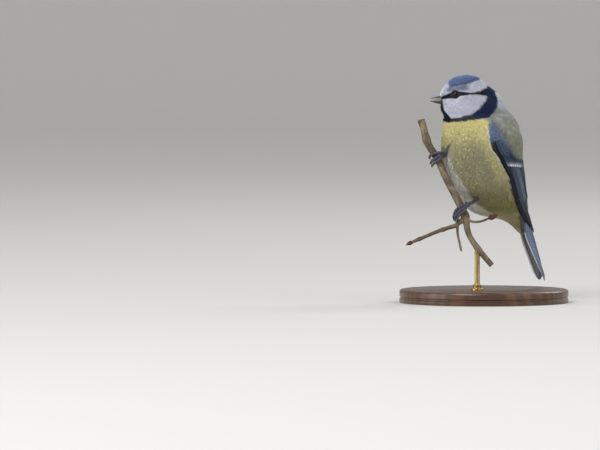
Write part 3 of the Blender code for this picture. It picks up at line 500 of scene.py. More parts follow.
def body_points(at, angle, lift=0.0):
    """Points lifted off the coat's surface by lift. It lies over the rump and swells at the shoulders."""
    points = ring_points(BODY_RINGS, at, angle)
    normals = ring_normals(BODY_RINGS, at, angle)
    points = points + normals * over_rump(points, normals, 0.0)[..., None]
    height = blended(BODY_RINGS, at)[..., 0]
    turn = np.abs(signed_degrees(angle))
    off_height = (height - SWELL_HEIGHT) / SWELL_HEIGHT_REACH
    off_turn = (turn - SWELL_TURN) / SWELL_TURN_REACH
    swell = SWELL * np.exp(-(off_height**2 + off_turn**2) / 2)
    return points + normals * (np.asarray(lift) + swell)[..., None]


def edge_angle(height):
    """The angle of the wing's front edge at a height, in degrees."""
    return blended(WING_EDGE, row_at(WING_EDGE, height))[..., 1]


def wing_points(side, height, behind, lift):
    """Points over a wing's bed at a height and degrees behind the front edge, and the normals there."""
    at = row_at(WING_BED, height)
    if side < 0:
        behind = behind + FAR_WING_BACK * (1 - smooth_step(height, *FAR_WING_HEIGHTS))
    angle = side * np.radians(edge_angle(height) + behind)
    points = ring_points(WING_BED, at, angle)
    normals = ring_normals(WING_BED, at, angle)
    point_lift = WING_POINT_LIFT * (1 - smooth_step(height, *WING_POINT_HEIGHTS))
    rise = over_rump(points, normals, RUMP_CLEARANCE) + lift + point_lift
    return points + normals * rise[..., None], normals


def eye_place(side):
    """The centre of an eyeball and the way that it looks."""
    at = row_at(BODY_RINGS, EYE_HEIGHT)
    angle = np.array(side * EYE_ANGLE)
    point = ring_points(BODY_RINGS, at, angle)
    look = ring_normals(BODY_RINGS, at, angle)
    return point - look * EYE_SINK, look


def bill_base():
    """The middle of the bill's root on the face, with the way that the head faces and its left."""
    ahead, left = heading(HEAD_TURN)
    return ring_points(BODY_RINGS, row_at(BODY_RINGS, BILL_HEIGHT), np.array(0.0)), ahead, left


class Ground:
    """A surface that feathers grow on. place takes shares of the way along it and round it, from 0 to 1."""

    def __init__(self, place, rows, columns):
        self.rows, self.columns = rows, columns
        shares = np.arange(rows + 1) / rows, np.arange(columns + 1) / columns
        along, round_it = np.meshgrid(*shares, indexing="ij")
        points = place(along, round_it)
        first = (np.arange(rows)[:, None] * (columns + 1) + np.arange(columns)).reshape(-1)
        faces = np.stack((first, first + 1, first + columns + 2, first + columns + 1), -1)
        self.tree = BVHTree.FromPolygons(points.reshape(-1, 3).tolist(), faces.tolist())
        edges = points[1:, :-1] - points[:-1, :-1], points[:-1, 1:] - points[:-1, :-1]
        self.out = unit(np.cross(edges[1], edges[0])).reshape(-1, 3)

    def settle(self, points):
        """The nearest points of the ground, the outward directions, and the shares along and round it."""
        found = [self.tree.find_nearest(point) for point in points.tolist()]
        on = np.array([hit[0] for hit in found])
        index = np.array([hit[2] for hit in found])
        along = (index // self.columns + 0.5) / self.rows
        round_it = (index % self.columns + 0.5) / self.columns
        return on, self.out[index], along, round_it


# ------------------------------------------------------------ markings


def mix(base, over, mask):
    """Colours base with over laid on them as far as mask says."""
    return base + (np.asarray(over) - base) * np.asarray(mask)[..., None]


def between(value, low, high, soft):
    """1 between low and high and 0 outside, with soft borders."""
    return smooth_step(value, low - soft, low + soft) * (1 - smooth_step(value, high - soft, high + soft))


def below(value, limits):
    """1 below the limits and 0 above them, with a soft step between."""
    return 1 - smooth_step(value, *limits)


def plain_colour(shape):
    """White over an array of that shape."""
    return np.ones(tuple(shape) + (3,))


def back_colour(colours, height):
    """The green of the upper back, paler towards the nape."""
    mantle = plain_colour(np.shape(height)) * colours.mantle
    return mix(mantle, colours.nape, 0.25 * smooth_step(height, *BACK_FADE))


def body_markings(colours, height, signed):
    """The colours below the collar."""
    turn = np.abs(signed)
    wing_edge = edge_angle(height)
    middle = 1 - smooth_step(turn, wing_edge - 24, wing_edge - 8) * smooth_step(height, *SIDE_FADE)
    # Painted light: towards the front of the breast less of the flank's colour is laid, so that the front is
    # paler
    middle = middle * (0.75 + 0.25 * smooth_step(turn, *BREAST_TURNS))
    body = plain_colour(np.shape(height)) * colours.breast
    # The colours grow darker and duller downwards: partly the plumage's own colour, partly painted shade of
    # the underside
    body = mix(body, colours.flank, below(height, FLANK_FADE) * (0.4 + 0.6 * middle))
    body = mix(body, colours.belly, below(height, LOWER_FLANK_FADE))
    belly, line = read_line(BELLY, height), np.abs(signed - read_line(STREAK, height))
    pale = (1 - smooth_step(line, belly - 4, belly + 7)) * below(height, PALE_FADE)
    body = mix(body, colours.pale, 0.98 * pale)
    thin = 1.2 + 1.5 * smooth_step(height, 76, 80)
    streak = (0.35 + 0.5 * between(height, 78.5, 83, 1)) * between(height, 62, 83, 2)
    body = mix(body, colours.streak, streak * (1 - smooth_step(line, thin, thin + 2.5)))
    body = mix(body, colours.vent, below(height, VENT_FADE) * (turn < 150))
    back = mix(back_colour(colours, height), colours.rump, below(height, RUMP_FADE))
    back = mix(back, colours.tail, 0.7 * below(height, TAIL_ROOT_FADE))
    mantle_edge = read_line(MANTLE_EDGE, height)
    body = mix(body, back, smooth_step(turn, mantle_edge - 4, mantle_edge + 6))
    body = mix(body, colours.nape, smooth_step(turn, *NAPE_TURNS) * smooth_step(height, *NAPE_FADE))
    # Painted shadow: just in front of the wing's front edge the body is painted near black, where the gap
    # between body and wing lies in shade
    gap_shadow = smooth_step(turn - wing_edge, -3.0, -0.5) * between(height, 70, 84, 1.5)
    return mix(body, WING_BLACK_AND_SHADOW, 0.9 * gap_shadow)


def head_markings(colours, height, turn, soft):
    """The colours above the collar's lower edge."""
    plain = plain_colour(np.shape(height))
    cap_edge, collar_low = read_line(CAP_EDGE, turn), read_line(COLLAR_BOTTOM, turn)
    stripe_low, stripe_high = read_line(STRIPE_BOTTOM, turn), read_line(STRIPE_TOP, turn)
    brow = between(height, cap_edge - 3.2, cap_edge + 1, 1.0) * between(turn, 30, 86, 8)
    grey = mix(plain * colours.cap, colours.streak, 0.5)
    # Painted shade: the white is laid a little darker low on the cheek
    head = mix(plain * colours.white, colours.streak, 0.13 * below(height, CHEEK_SHADE_FADE))
    head = mix(head, grey, 0.78 * brow + 0.12 * below(turn, FOREHEAD_TURNS) * (height > 106))
    lower_crown = 1 - smooth_step(height, cap_edge, cap_edge + 1.6)
    crown = mix(plain * colours.cap, colours.cap_dark, 0.75 * lower_crown)
    head = mix(head, crown, smooth_step(height, cap_edge - 4 * soft, cap_edge + 4 * soft))
    head = mix(head, colours.stripe, between(height, stripe_low, stripe_high, soft) * (turn < STRIPE_BACK))
    band = between(height, collar_low, np.minimum(read_line(CHEEK_BOTTOM, turn), stripe_high), soft)
    front = below(turn, COLLAR_TURNS)
    dark = mix(mix(plain * colours.collar, colours.stripe, front), colours.streak, 0.45 * front)
    head = mix(head, dark, band)
    bib = read_line(BIB, height)
    return mix(head, colours.stripe, (1 - smooth_step(turn, bib - 1.5, bib + 1.5)) * (height < BIB_TOP))


def markings(colours, height, angle, soft=0.35):
    """The plumage's colour at heights in millimetres and angles in radians round the body."""
    signed = signed_degrees(angle)
    turn = np.abs(signed)
    collar_low = read_line(COLLAR_BOTTOM, turn)
    is_head = smooth_step(height, collar_low - soft, collar_low + soft)
    return mix(body_markings(colours, height, signed), head_markings(colours, height, turn, soft), is_head)


def wing_markings(colours, height, turn):
    """The colour of the small feathers on a wing's shoulder, at heights and degrees round from the breast."""
    edge = read_line(SCAPULAR_EDGE, height)
    blue = mix(plain_colour(np.shape(height)) * colours.lesser, colours.covert, below(height, COVERT_FADE))
    # At the wing's front edge, below the shoulder, the small feathers are painted near black: partly their
    # own dark colour, partly painted shadow between the flank and the wing
    dark = (1 - smooth_step(turn - edge_angle(height), 5, 12)) * below(height, WING_EDGE_FADE)
    blue = mix(blue, colours.stripe, 0.85 * dark)
    shaded = 0.4 * (1 - smooth_step(turn, edge + 2, edge + 16))
    back = mix(back_colour(colours, height), colours.covert, shaded)
    return mix(blue, back, smooth_step(turn, edge - 3, edge + 5))


# ------------------------------------------------------------ meshes


def link(name, mesh):
    """A new object of a mesh, in the scene."""
    made = bpy.data.objects.new(name, mesh)
    bpy.context.scene.collection.objects.link(made)
    return made


def object_from_bmesh(name, bm):
    """A new object from a bmesh in metres, with its faces turned outwards."""
    bmesh.ops.recalc_face_normals(bm, faces=bm.faces)
    mesh = bpy.data.meshes.new(name)
    bm.to_mesh(mesh)
    bm.free()
    mesh.shade_smooth()
    return link(name, mesh)


def unit_sphere(across, up):
    """A ball of radius 1 as a bmesh, and its points as an array."""
    bm = bmesh.new()
    bmesh.ops.create_uvsphere(bm, u_segments=across, v_segments=up, radius=1.0)
    return bm, np.array([vert.co for vert in bm.verts])


def object_from_moved(name, bm, points):
    """A new object from a bmesh, with its points moved to points in millimetres."""
    for vert, point in zip(bm.verts, points):
        vert.co = point * MM
    return object_from_bmesh(name, bm)


def object_from_arrays(name, points, faces, colours=None, uvs=None, extra=None):
    """A new object from points in millimetres and triangles, with each point's colour and places on maps."""
    mesh = bpy.data.meshes.new(name)
    faces = np.ascontiguousarray(faces, np.int32)
    mesh.vertices.add(len(points))
    mesh.vertices.foreach_set("co", (points * MM).astype(np.float32).reshape(-1))
    mesh.loops.add(faces.size)
    mesh.loops.foreach_set("vertex_index", faces.reshape(-1))
    mesh.polygons.add(len(faces))
    mesh.polygons.foreach_set("loop_start", np.arange(len(faces), dtype=np.int32) * 3)
    mesh.update(calc_edges=True)
    mesh.shade_smooth()
    if colours is not None:
        tint(mesh, colours)
    for layer, values in (("OFBake", uvs), ("Barbs", extra)):
        if values is not None:
            made = mesh.uv_layers.new(name=layer)
            made.data.foreach_set("uv", values[faces.reshape(-1)].astype(np.float32).reshape(-1))
    return link(name, mesh)


def tint(mesh, colours):
    """Stores a linear colour for each point as the attribute that the plumage's materials read."""
    values = np.ones((len(mesh.vertices), 4), np.float32)
    values[:, :3] = colours
    mesh.attributes.new("Tint", "FLOAT_COLOR", "POINT").data.foreach_set("color", values.reshape(-1))


def finish_piece(piece, material, slot, *nodes):
    """Gives a piece its material and its body, and hides the solids that it stands for. slot is not used."""
    piece.data.materials.clear()
    piece.data.materials.append(material)
    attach(piece, BODY)
    if nodes:
        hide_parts(*nodes)


def smooth_path(points, count):
    """count points on a smooth curve through points."""
    return blended(points, np.linspace(0, len(points) - 1, count))


def path_frames(points, up):
    """Two directions across a path at each of its points, carried along without twist."""
    across, ups = [], []
    for way in unit(np.gradient(points, axis=0)):
        side = unit(np.cross(up, way))
        up = np.cross(way, side)
        across.append(side)
        ups.append(up)
    return np.array(across), np.array(ups)


def ring_edges(bm, ring):
    """A closed line of edges through points in millimetres."""
    verts = [bm.verts.new(point * MM) for point in ring]
    return [bm.edges.new(pair) for pair in zip(verts, verts[1:] + verts[:1])]


def lofted(name, rings):
    """A closed tube from rings of as many points each, all in millimetres."""
    bm = bmesh.new()
    made = [ring_edges(bm, ring) for ring in rings]
    for before, after in zip(made, made[1:]):
        bmesh.ops.bridge_loops(bm, edges=before + after)
    for edges in (made[0], made[-1]):
        bmesh.ops.contextual_create(bm, geom=edges)
    return object_from_bmesh(name, bm)


def round_rings(path, radii, sides, up=(0.0, -1.0, 0.0), shape=None):
    """Rings round a path. shape, if any, gives each ring's radius a factor from the angles round it."""
    across, ups = path_frames(path, np.array(up, float))
    angles = np.linspace(0, 2 * math.pi, sides, endpoint=False)
    rings = []
    for i, (point, radius) in enumerate(zip(path, radii)):
        factor = radius if shape is None else radius * shape(i, angles)
        aside, upwards = np.cos(angles) * factor, np.sin(angles) * factor
        rings.append(point + across[i] * aside[:, None] + ups[i] * upwards[:, None])
    return rings


def joined(name, pieces):
    """One object from several, which keep their faces as they are."""
    bm = bmesh.new()
    for piece in pieces:
        bm.from_mesh(piece.data)
        bpy.data.objects.remove(piece)
    mesh = bpy.data.meshes.new(name)
    bm.to_mesh(mesh)
    bm.free()
    mesh.shade_smooth()
    return link(name, mesh)


# ------------------------------------------------------------ node groups and materials


def new_group(name, inputs, outputs):
    """An empty shader node group with named sockets, each given as a name and a kind with a default."""
    group = bpy.data.node_groups.new(name, "ShaderNodeTree")
    for label, kind, default in inputs:
        socket = group.interface.new_socket(name=label, in_out="INPUT", socket_type="NodeSocket" + kind)
        if default is not None:
            socket.default_value = default
    for label, kind in outputs:
        group.interface.new_socket(name=label, in_out="OUTPUT", socket_type="NodeSocket" + kind)
    return group, group.nodes.new("NodeGroupInput"), group.nodes.new("NodeGroupOutput")


class Nodes:
    """Short ways to add nodes to a tree and link them."""

    def __init__(self, tree):
        self.tree = tree

    def add(self, kind, inputs=None, **settings):
        node = self.tree.nodes.new("ShaderNode" + kind)
        for key, value in settings.items():
            setattr(node, key, value)
        for key, value in (inputs or {}).items():
            if isinstance(value, bpy.types.NodeSocket):
                self.tree.links.new(value, node.inputs[key])
            else:
                node.inputs[key].default_value = value
        return node

    def math(self, operation, first, second=0.0, third=0.0):
        return self.add("Math", {0: first, 1: second, 2: third}, operation=operation).outputs[0]

    def mix(self, share, first, second, blend="MIX"):
        node = self.add("Mix", data_type="RGBA", blend_type=blend)
        for key, value in ((0, share), (6, first), (7, second)):
            if isinstance(value, bpy.types.NodeSocket):
                self.tree.links.new(value, node.inputs[key])
            else:
                node.inputs[key].default_value = value if key == 0 else (*tuple(value)[:3], 1)
        return node.outputs[2]

    def noise(self, vector, scale, detail=2.0, rough=0.5, distortion=0.0):
        values = {"Vector": vector, "Scale": scale, "Detail": detail, "Roughness": rough}
        return self.add("TexNoise", {**values, "Distortion": distortion}).outputs["Fac"]

    def ramp(self, value, low, high, to_low=0.0, to_high=1.0):
        values = {0: value, 1: low, 2: high, 3: to_low, 4: to_high}
        return self.add("MapRange", values, interpolation_type="SMOOTHSTEP").outputs[0]

    def grey(self, value):
        """A number as a grey colour."""
        return self.add("CombineColor", {0: value, 1: value, 2: value}).outputs[0]

    def tint(self):
        """The colour stored with the mesh."""
        return self.add("Attribute", attribute_name="Tint", attribute_type="GEOMETRY").outputs["Color"]

    def place(self):
        return self.add("TexCoord").outputs["Object"]

    def mottle(self, scale, amount=0.2):
        """The outputs of the mottled variation over the piece's own coordinates."""
        node = self.add("Group", node_tree=mottle_group())
        self.link(self.place(), node.inputs["Vector"])
        node.inputs["Scale"].default_value = scale
        node.inputs["Amount"].default_value = amount
        return node.outputs

    def link(self, source, target):
        self.tree.links.new(source, target)


def mottle_group():
    """A slow and a fast variation of light and dark over a surface, about 1."""
    found = bpy.data.node_groups.get("Mottle")
    if found:
        return found
    group, start, end = new_group(
        "Mottle", [("Vector", "Vector", None), ("Scale", "Float", 200.0), ("Amount", "Float", 0.2)],
        [("Factor", "Float"), ("Height", "Float")])
    nodes = Nodes(group)
    slow = nodes.noise(start.outputs["Vector"], start.outputs["Scale"], 3.0, 0.6)
    fine_scale = nodes.math("MULTIPLY", start.outputs["Scale"], 5.0)
    fast = nodes.noise(start.outputs["Vector"], fine_scale, 2.0, 0.5)
    both = nodes.math("MULTIPLY_ADD", slow, 0.65, nodes.math("MULTIPLY", fast, 0.35))
    twice = nodes.math("MULTIPLY", start.outputs["Amount"], 2.0)
    swing = nodes.math("MULTIPLY", nodes.math("SUBTRACT", both, 0.5), twice)
    nodes.link(nodes.math("ADD", swing, 1.0), end.inputs["Factor"])
    nodes.link(both, end.inputs["Height"])
    return group


def barb_group():
    """The slanting barbs of a vane, from a map that holds millimetres across from the shaft and along it."""
    found = bpy.data.node_groups.get("Barbs")
    if found:
        return found
    group, start, end = new_group(
        "Barbs", [("Vector", "Vector", None), ("Spacing", "Float", 0.32), ("Slant", "Float", 1.3)],
        [("Height", "Float"), ("Shaft", "Float")])
    nodes = Nodes(group)
    parts = nodes.add("SeparateXYZ", {0: start.outputs["Vector"]})
    across = nodes.math("ABSOLUTE", parts.outputs[0])
    slant = nodes.math("SUBTRACT", parts.outputs[1], nodes.math("MULTIPLY", across, start.outputs["Slant"]))
    wobble = nodes.math("MULTIPLY", nodes.noise(start.outputs["Vector"], 0.8, 2.0), 0.35)
    phase = nodes.math("DIVIDE", nodes.math("ADD", slant, wobble), start.outputs["Spacing"])
    wave = nodes.math("SINE", nodes.math("MULTIPLY", phase, 2 * math.pi))
    nodes.link(nodes.math("MULTIPLY_ADD", wave, 0.5, 0.5), end.inputs["Height"])
    nodes.link(nodes.ramp(across, 0.08, 0.2, 1.0, 0.0), end.inputs["Shaft"])
    return group


def new_material(name, roughness, specular=0.3, **values):
    """A material with its Principled shader, whose plain values are set on its own sockets."""
    material = bpy.data.materials.new(name)
    material.use_nodes = True
    nodes = Nodes(material.node_tree)
    shader = material.node_tree.nodes["Principled BSDF"]
    shader.inputs["Roughness"].default_value = roughness
    shader.inputs["Specular IOR Level"].default_value = specular
    for key, value in values.items():
        shader.inputs[key.replace("_", " ").title()].default_value = value
    return material, nodes, shader


def bump(nodes, shader, height, distance, strength):
    """Fine relief from a height of 0 to 1 over a distance in metres."""
    node = nodes.add("Bump", {"Height": height, "Distance": distance, "Strength": strength})
    nodes.link(node.outputs["Normal"], shader.inputs["Normal"])


def coat_material(name):
    """Soft plumage: the stored markings, varied a little from feather to feather."""
    material, nodes, shader = new_material(name, 0.85, 0.15, sheen_weight=0.12, sheen_roughness=0.5)
    shade = nodes.grey(nodes.mottle(260.0, 0.13)["Factor"])
    nodes.link(nodes.mix(1.0, nodes.tint(), shade, "MULTIPLY"), shader.inputs["Base Color"])
    return material


def vane_material(name):
    """Smooth flight feathers: stored colour, slanting barbs and a shaft."""
    material, nodes, shader = new_material(name, 0.55, 0.12)
    barbs = nodes.add("Group", node_tree=barb_group())
    nodes.link(nodes.add("UVMap", uv_map="Barbs").outputs[0], barbs.inputs["Vector"])
    shaded = nodes.ramp(barbs.outputs["Height"], 0.0, 1.0, 0.84, 1.08)
    colour = nodes.mix(1.0, nodes.tint(), nodes.grey(shaded), "MULTIPLY")
    shaft = nodes.math("MULTIPLY", barbs.outputs["Shaft"], 0.7)
    nodes.link(nodes.mix(shaft, colour, srgb(28, 26, 30)), shader.inputs["Base Color"])
    bump(nodes, shader, nodes.math("ADD", barbs.outputs["Height"], barbs.outputs["Shaft"]), 0.00006, 0.6)
    return material


# ------------------------------------------------------------ skin


def coat_depth(sizes, points, height):
    """How deep the coat is over the skin, in millimetres: thin on the face and where the body runs out."""
    deep, shallow = sizes.body_depth / MM, sizes.head_depth / MM
    depth = shallow + (deep - shallow) * (1 - smooth_step(height, 92, 102))
    half_width = read_line([(ring[0], ring[3]) for ring in BODY_RINGS], height)
    depth = np.minimum(depth, 0.45 * half_width + 0.05)
    for side in (1, -1):
        near = 1 - smooth_step(np.linalg.norm(points - eye_place(side)[0], axis=-1), 2.6, 5.5)
        depth = depth * (1 - 0.6 * near)
    near = 1 - smooth_step(np.linalg.norm(points - bill_base()[0], axis=-1), 2.5, 6.0)
    return depth * (1 - 0.55 * near)


def along_to_at(along):
    """The row number at a share of the way up the body, clear of the poles."""
    return 0.05 + (len(BODY_RINGS) - 1.1) * np.asarray(along)


def make_skin(sizes, colours):
    """The body's skin under the coat, one closed surface."""
    bm, co = unit_sphere(180, 220)
    at = np.arccos(np.clip(-co[:, 2], -1, 1)) / math.pi * (len(BODY_RINGS) - 1)
    angle = np.arctan2(co[:, 1], co[:, 0])
    height = blended(BODY_RINGS, at)[:, 0]
    depth = coat_depth(sizes, body_points(at, angle), height)
    skin = object_from_moved("bird_skin", bm, body_points(at, angle, -depth))
    # The skin is painted a fifth darker than the plumage: painted shade deep under the coat, which shows
    # between the feathers
    tint(skin.data, markings(colours, height, angle) * 0.8)
    return skin


# ------------------------------------------------------------ the coat


def tuft_roots(sizes, rng):
    """Row numbers and angles of the roots: rings up the body, each half a space on from the last."""
    head_space, body_space = sizes.head_spacing / MM, sizes.body_spacing / MM
    numbers = np.linspace(0.3, len(BODY_RINGS) - 1.02, 3000)
    walk = ring_points(BODY_RINGS, numbers, np.full(numbers.shape, math.pi / 2))
    steps = np.linalg.norm(np.diff(walk, axis=0), axis=1)
    travelled = np.concatenate(([0], np.cumsum(steps)))
    ats, angles = [], []
    distance, row = 0.0, 0
    while distance < travelled[-1]:
        at = np.interp(distance, travelled, numbers)
        height, _, depth, width = blended(BODY_RINGS, at)[:4]
        space = head_space + (body_space - head_space) * (1 - smooth_step(height, 88, 102))
        count = max(int(math.pi * (depth + width) / space), 3)
        turn = (np.arange(count) + 0.5 * (row % 2) + rng.uniform(-0.3, 0.3, count)) / count
        angles.append(turn * 2 * math.pi - math.pi)
        pace = np.interp(at, numbers[:-1], np.diff(numbers) / np.maximum(steps, 1e-6))
        ats.append(np.full(count, at) + rng.uniform(-0.3, 0.3, count) * space * pace)
        distance += space * 0.9
        row += 1
    return np.concatenate(ats), np.concatenate(angles)


def under_wing(height, angle):
    """Where the folded wings hide the body."""
    turn = np.abs(np.degrees(angle))
    front = edge_angle(height) + 9 - 8 * between(height, 74, 90, 2)
    return (turn > front) & (turn < read_line(HIDDEN_REAR, height)) & (height < 90) & (height > 47)


def lie_of(points, normals):
    """The way that the feathers lie: away from the bill over the head, then down towards the tail."""
    base, ahead, _ = bill_base()
    away = points - (base + ahead * 3.0)
    distance = np.linalg.norm(away, axis=-1)
    down = -heading(0.0)[0] * math.sin(TAIL_SLOPE) - np.array((0, 0, math.cos(TAIL_SLOPE)))
    face = 1 - smooth_step(distance, 12, 26)
    lean = np.clip((points[..., 2] - 92) / 16, 0, 1)
    way = unit(away) * np.maximum(face, 0.55 * lean)[..., None] + down * (1 - face * 0.8)[..., None]
    way = way - normals * (way * normals).sum(-1)[..., None]
    return unit(way)


# How far a blade's ridge stands up, as a share of half its width
BLADE_THICKNESS = 0.7
# A blade's width, and its tone at shares of its length: painted shade and light of the coat's depth, darker
# towards the root and a little lighter at the tip
BLADE_OUTLINE = ((0, 0.6), (0.3, 1.0), (0.6, 0.95), (0.85, 0.6), (1, 0.0))
BLADE_SHADING = ((0, 0.72), (0.4, 0.92), (0.8, 1.0), (1, 1.06))
# How far the roots lie under the coat, in millimetres, and how far out each blade's colour is read
ROOT_SINK = 0.12
PAINTED_SHARE = 0.75
# The size of a tuft's patch on the map of its piece
TUFT_PATCH = 0.003
# Where along their length blades bend: short ones and long ones
SHORT_SHARES, LONG_SHARES = (0.0, 0.5, 1.0), (0.0, 0.4, 0.75, 1.0)


class Blades:
    """Slender closed blades, three sided, gathered into arrays."""

    def __init__(self):
        self.points, self.faces, self.colours, self.uvs, self.count = [], [], [], [], 0

    def add(self, centres, normals, ways, widths, colours, uvs):
        """centres, normals and ways are (rings, blades, 3), widths (rings, blades). The last is the tip."""
        rings, blades = widths.shape
        side = unit(np.cross(ways, normals))
        half = (widths / 2)[..., None]
        ridge = centres + normals * BLADE_THICKNESS * half
        corners = np.stack((centres - side * half, centres + side * half, ridge), 2)
        tips = centres[-1]
        body = corners[:-1].transpose(1, 0, 2, 3).reshape(blades, -1, 3)
        points = np.concatenate((body, tips[:, None]), 1)
        per = points.shape[1]
        faces = [(0, 1, 2)]
        for k in range(rings - 2):
            a, b, c = 3 * k, 3 * k + 1, 3 * k + 2
            for first, second in ((a, c), (c, b), (b, a)):
                faces += [(first, second, second + 3), (first, second + 3, first + 3)]
        a, b, c, tip = per - 4, per - 3, per - 2, per - 1
        faces += [(a, c, tip), (c, b, tip), (b, a, tip)]
        start = self.count + np.arange(blades)[:, None, None] * per
        self.faces.append((np.array(faces)[None] + start).reshape(-1, 3))
        self.points.append(points.reshape(-1, 3))
        self.count += blades * per
        ring_of = np.concatenate((np.repeat(np.arange(rings - 1), 3), [rings - 1]))
        across = np.concatenate((np.tile((0.0, 1.0, 0.5), rings - 1), [0.5]))
        self.colours.append(colours[ring_of].transpose(1, 0, 2).reshape(-1, 3))
        patch = np.stack((0.15 + 0.7 * across, ring_of / (rings - 1)), -1)
        self.uvs.append((uvs[0][:, None] + uvs[1][:, None] * patch[None]).reshape(-1, 2))

    def build(self, name):
        arrays = (self.points, self.faces, self.colours, self.uvs)
        return object_from_arrays(name, *(np.concatenate(parts) for parts in arrays))


def grow(blades, ground, roots, out, ways, rng, *, length, width, depth, spread, number, shares, lift, paint,
         places, vary=0.1):
    """Adds a tuft of blades at each root. length, width, depth and spread are in millimetres, one value for
    each tuft or one for all. paint gives colours from shares along and round the ground, and places are the
    roots' shares."""
    tufts = len(roots)
    lane = np.tile(np.linspace(-1, 1, number), tufts)
    veer = rng.normal(0, 0.09, tufts)[:, None]
    ways = unit(ways + np.cross(out, ways) * veer)

    def each(values):
        values = np.asarray(values)
        return np.repeat(values if values.ndim else np.full(tufts, values), number, axis=0)

    root, way, up = each(roots), each(ways), each(out)
    side = np.cross(way, up)
    reach = each(length) * (1 - 0.22 * lane**2) * rng.uniform(0.82, 1.12, lane.size)
    swing = lane + rng.uniform(-0.25, 0.25, lane.size)
    start = root + side * (swing * each(spread) * 0.3)[:, None]
    aim = way * reach[:, None] + side * (swing * each(spread) * 0.7)[:, None]
    sink = rng.uniform(-0.35, 0.05, lane.size)
    centres, normals = [], []
    for share in shares:
        on, facing, along, round_it = ground.settle(start + aim * share)
        raised = (lift * share**2 + sink * each(depth) * 0.5) * min(1, share * 2)
        height = -each(depth) * (1 - share) ** 1.7 + raised
        if share == 0:
            height = height - ROOT_SINK
        centres.append(on + facing * height[:, None])
        normals.append(facing)
        if share <= PAINTED_SHARE:
            seen = paint(along, round_it)
    centres, normals = np.array(centres), np.array(normals)
    widths = read_line(BLADE_OUTLINE, shares)[:, None] * each(width)[None]
    widths = widths * rng.uniform(0.8, 1.2, lane.size)[None]
    tone = each(1 + rng.uniform(-vary, vary * 0.8, tufts)) * rng.uniform(0.86, 1.1, lane.size)
    # Painted shade and light: each blade is darker towards its root, deep in the coat, and a little lighter
    # at its tip
    colours = seen[None] * (tone[None] * read_line(BLADE_SHADING, shares)[:, None])[..., None]
    corner = np.stack((places[1], places[0]), -1) * 0.98 + 0.008
    across = (lane + 1) / 2 * TUFT_PATCH * (number - 1) / number
    first = each(corner) + np.stack((across, np.zeros(lane.size)), -1)
    patch = np.stack((np.full(lane.size, TUFT_PATCH / number), np.full(lane.size, TUFT_PATCH)), -1)
    blades.add(centres, normals, unit(np.gradient(centres, axis=0)), widths, colours, (first, patch))


# The coat's pieces: heights from and to, and degrees round from and to, in one or two parts
ALL = math.inf
COAT_REGIONS = {
    "crown_feathers": ((111.5, ALL, 0, ALL),),
    "face_feathers": ((99, 111.5, 0, 62),),
    "cheek_feathers": ((99, 111.5, 62, ALL),),
    "throat_feathers": ((84, 99, 0, 80),),
    "breast_feathers": ((66, 84, 0, 100),),
    "belly_feathers": ((0, 66, 0, 55),),
    "lower_flank_feathers": ((0, 66, 55, 110),),
    "nape_feathers": ((87, 99, 80, ALL),),
    "mantle_feathers": ((84, 87, 80, ALL), (72, 84, 100, ALL)),
    "rump_feathers": ((66, 72, 100, ALL), (0, 66, 110, ALL)),
}
HEAD_PIECES = ("crown_feathers", "face_feathers", "cheek_feathers")
# How much the tone varies from tuft to tuft
COAT_VARY = {"crown_feathers": 0.2, "nape_feathers": 0.26, "mantle_feathers": 0.26, "breast_feathers": 0.15}
# How near to the middle of an eye and to the bill's root the coat's feathers start
EYE_BARE, BILL_BARE = 2.75, 2.0


def make_coat(sizes, colours, material):
    """The contour feathers of the head and body, as pieces by region."""
    rng = np.random.default_rng(11)
    ground = Ground(lambda along, turn: body_points(along_to_at(along), (turn - 0.5) * 2 * math.pi), 300, 260)
    at, angle = tuft_roots(sizes, rng)
    height = blended(BODY_RINGS, at)[:, 0]
    points = body_points(at, angle)
    eyes = [eye_place(side)[0] for side in (1, -1)]
    base = bill_base()[0]
    eye_gap = np.minimum(*(np.linalg.norm(points - eye, axis=-1) for eye in eyes))
    bill_gap = np.linalg.norm((points - base) * (1, 1, 0.9), axis=-1)
    keep = ~under_wing(height, angle) & (eye_gap > EYE_BARE) & (bill_gap > BILL_BARE)
    at, angle, height, points, eye_gap = (values[keep] for values in (at, angle, height, points, eye_gap))
    turn = np.abs(np.degrees(angle))
    out = ring_normals(BODY_RINGS, at, angle)
    ways = lie_of(points, out)
    along, round_it = np.clip(at / (len(BODY_RINGS) - 1), 0, 1), angle / (2 * math.pi) + 0.5
    bill_gap = np.linalg.norm(points - base, axis=-1)
    near = np.minimum(smooth_step(eye_gap, 2.8, 6.5), smooth_step(bill_gap, 2.0, 7.5))
    face, head, body = sizes.face_length / MM, sizes.head_length / MM, sizes.body_length / MM
    length = head + (body - head) * (1 - smooth_step(height, 88, 103))
    length = length * (1 + 0.25 * (1 - smooth_step(height, 46, 58)))
    length = length * (1 + 0.3 * (1 - smooth_step(height, 38, 44)))
    length = face + (length - face) * near
    on_body = 1 - smooth_step(height, 90, 103)
    depth = coat_depth(sizes, points, height)

    def paint(along, round_it):
        where = along_to_at(along)
        return markings(colours, blended(BODY_RINGS, where)[..., 0], (round_it - 0.5) * 2 * math.pi, 0.12)

    for name, parts in COAT_REGIONS.items():
        inside = np.zeros(height.size, bool)
        for low, high, front, back in parts:
            inside |= (height >= low) & (height < high) & (turn >= front) & (turn < back)
        short = name in HEAD_PIECES
        blades = Blades()
        grow(blades, ground, points[inside], out[inside], ways[inside], rng, length=length[inside],
             width=0.20 + 0.14 * on_body[inside], depth=depth[inside], spread=0.62 + 0.55 * on_body[inside],
             number=8 if short else 10, shares=SHORT_SHARES if short else LONG_SHARES,
             lift=0.12 if short else 0.35, paint=paint, places=(along[inside], round_it[inside]),
             vary=COAT_VARY.get(name, 0.1))
        finish_piece(blades.build(name), material, "head_plumage" if short else "body_plumage")


# ------------------------------------------------------------ vanes


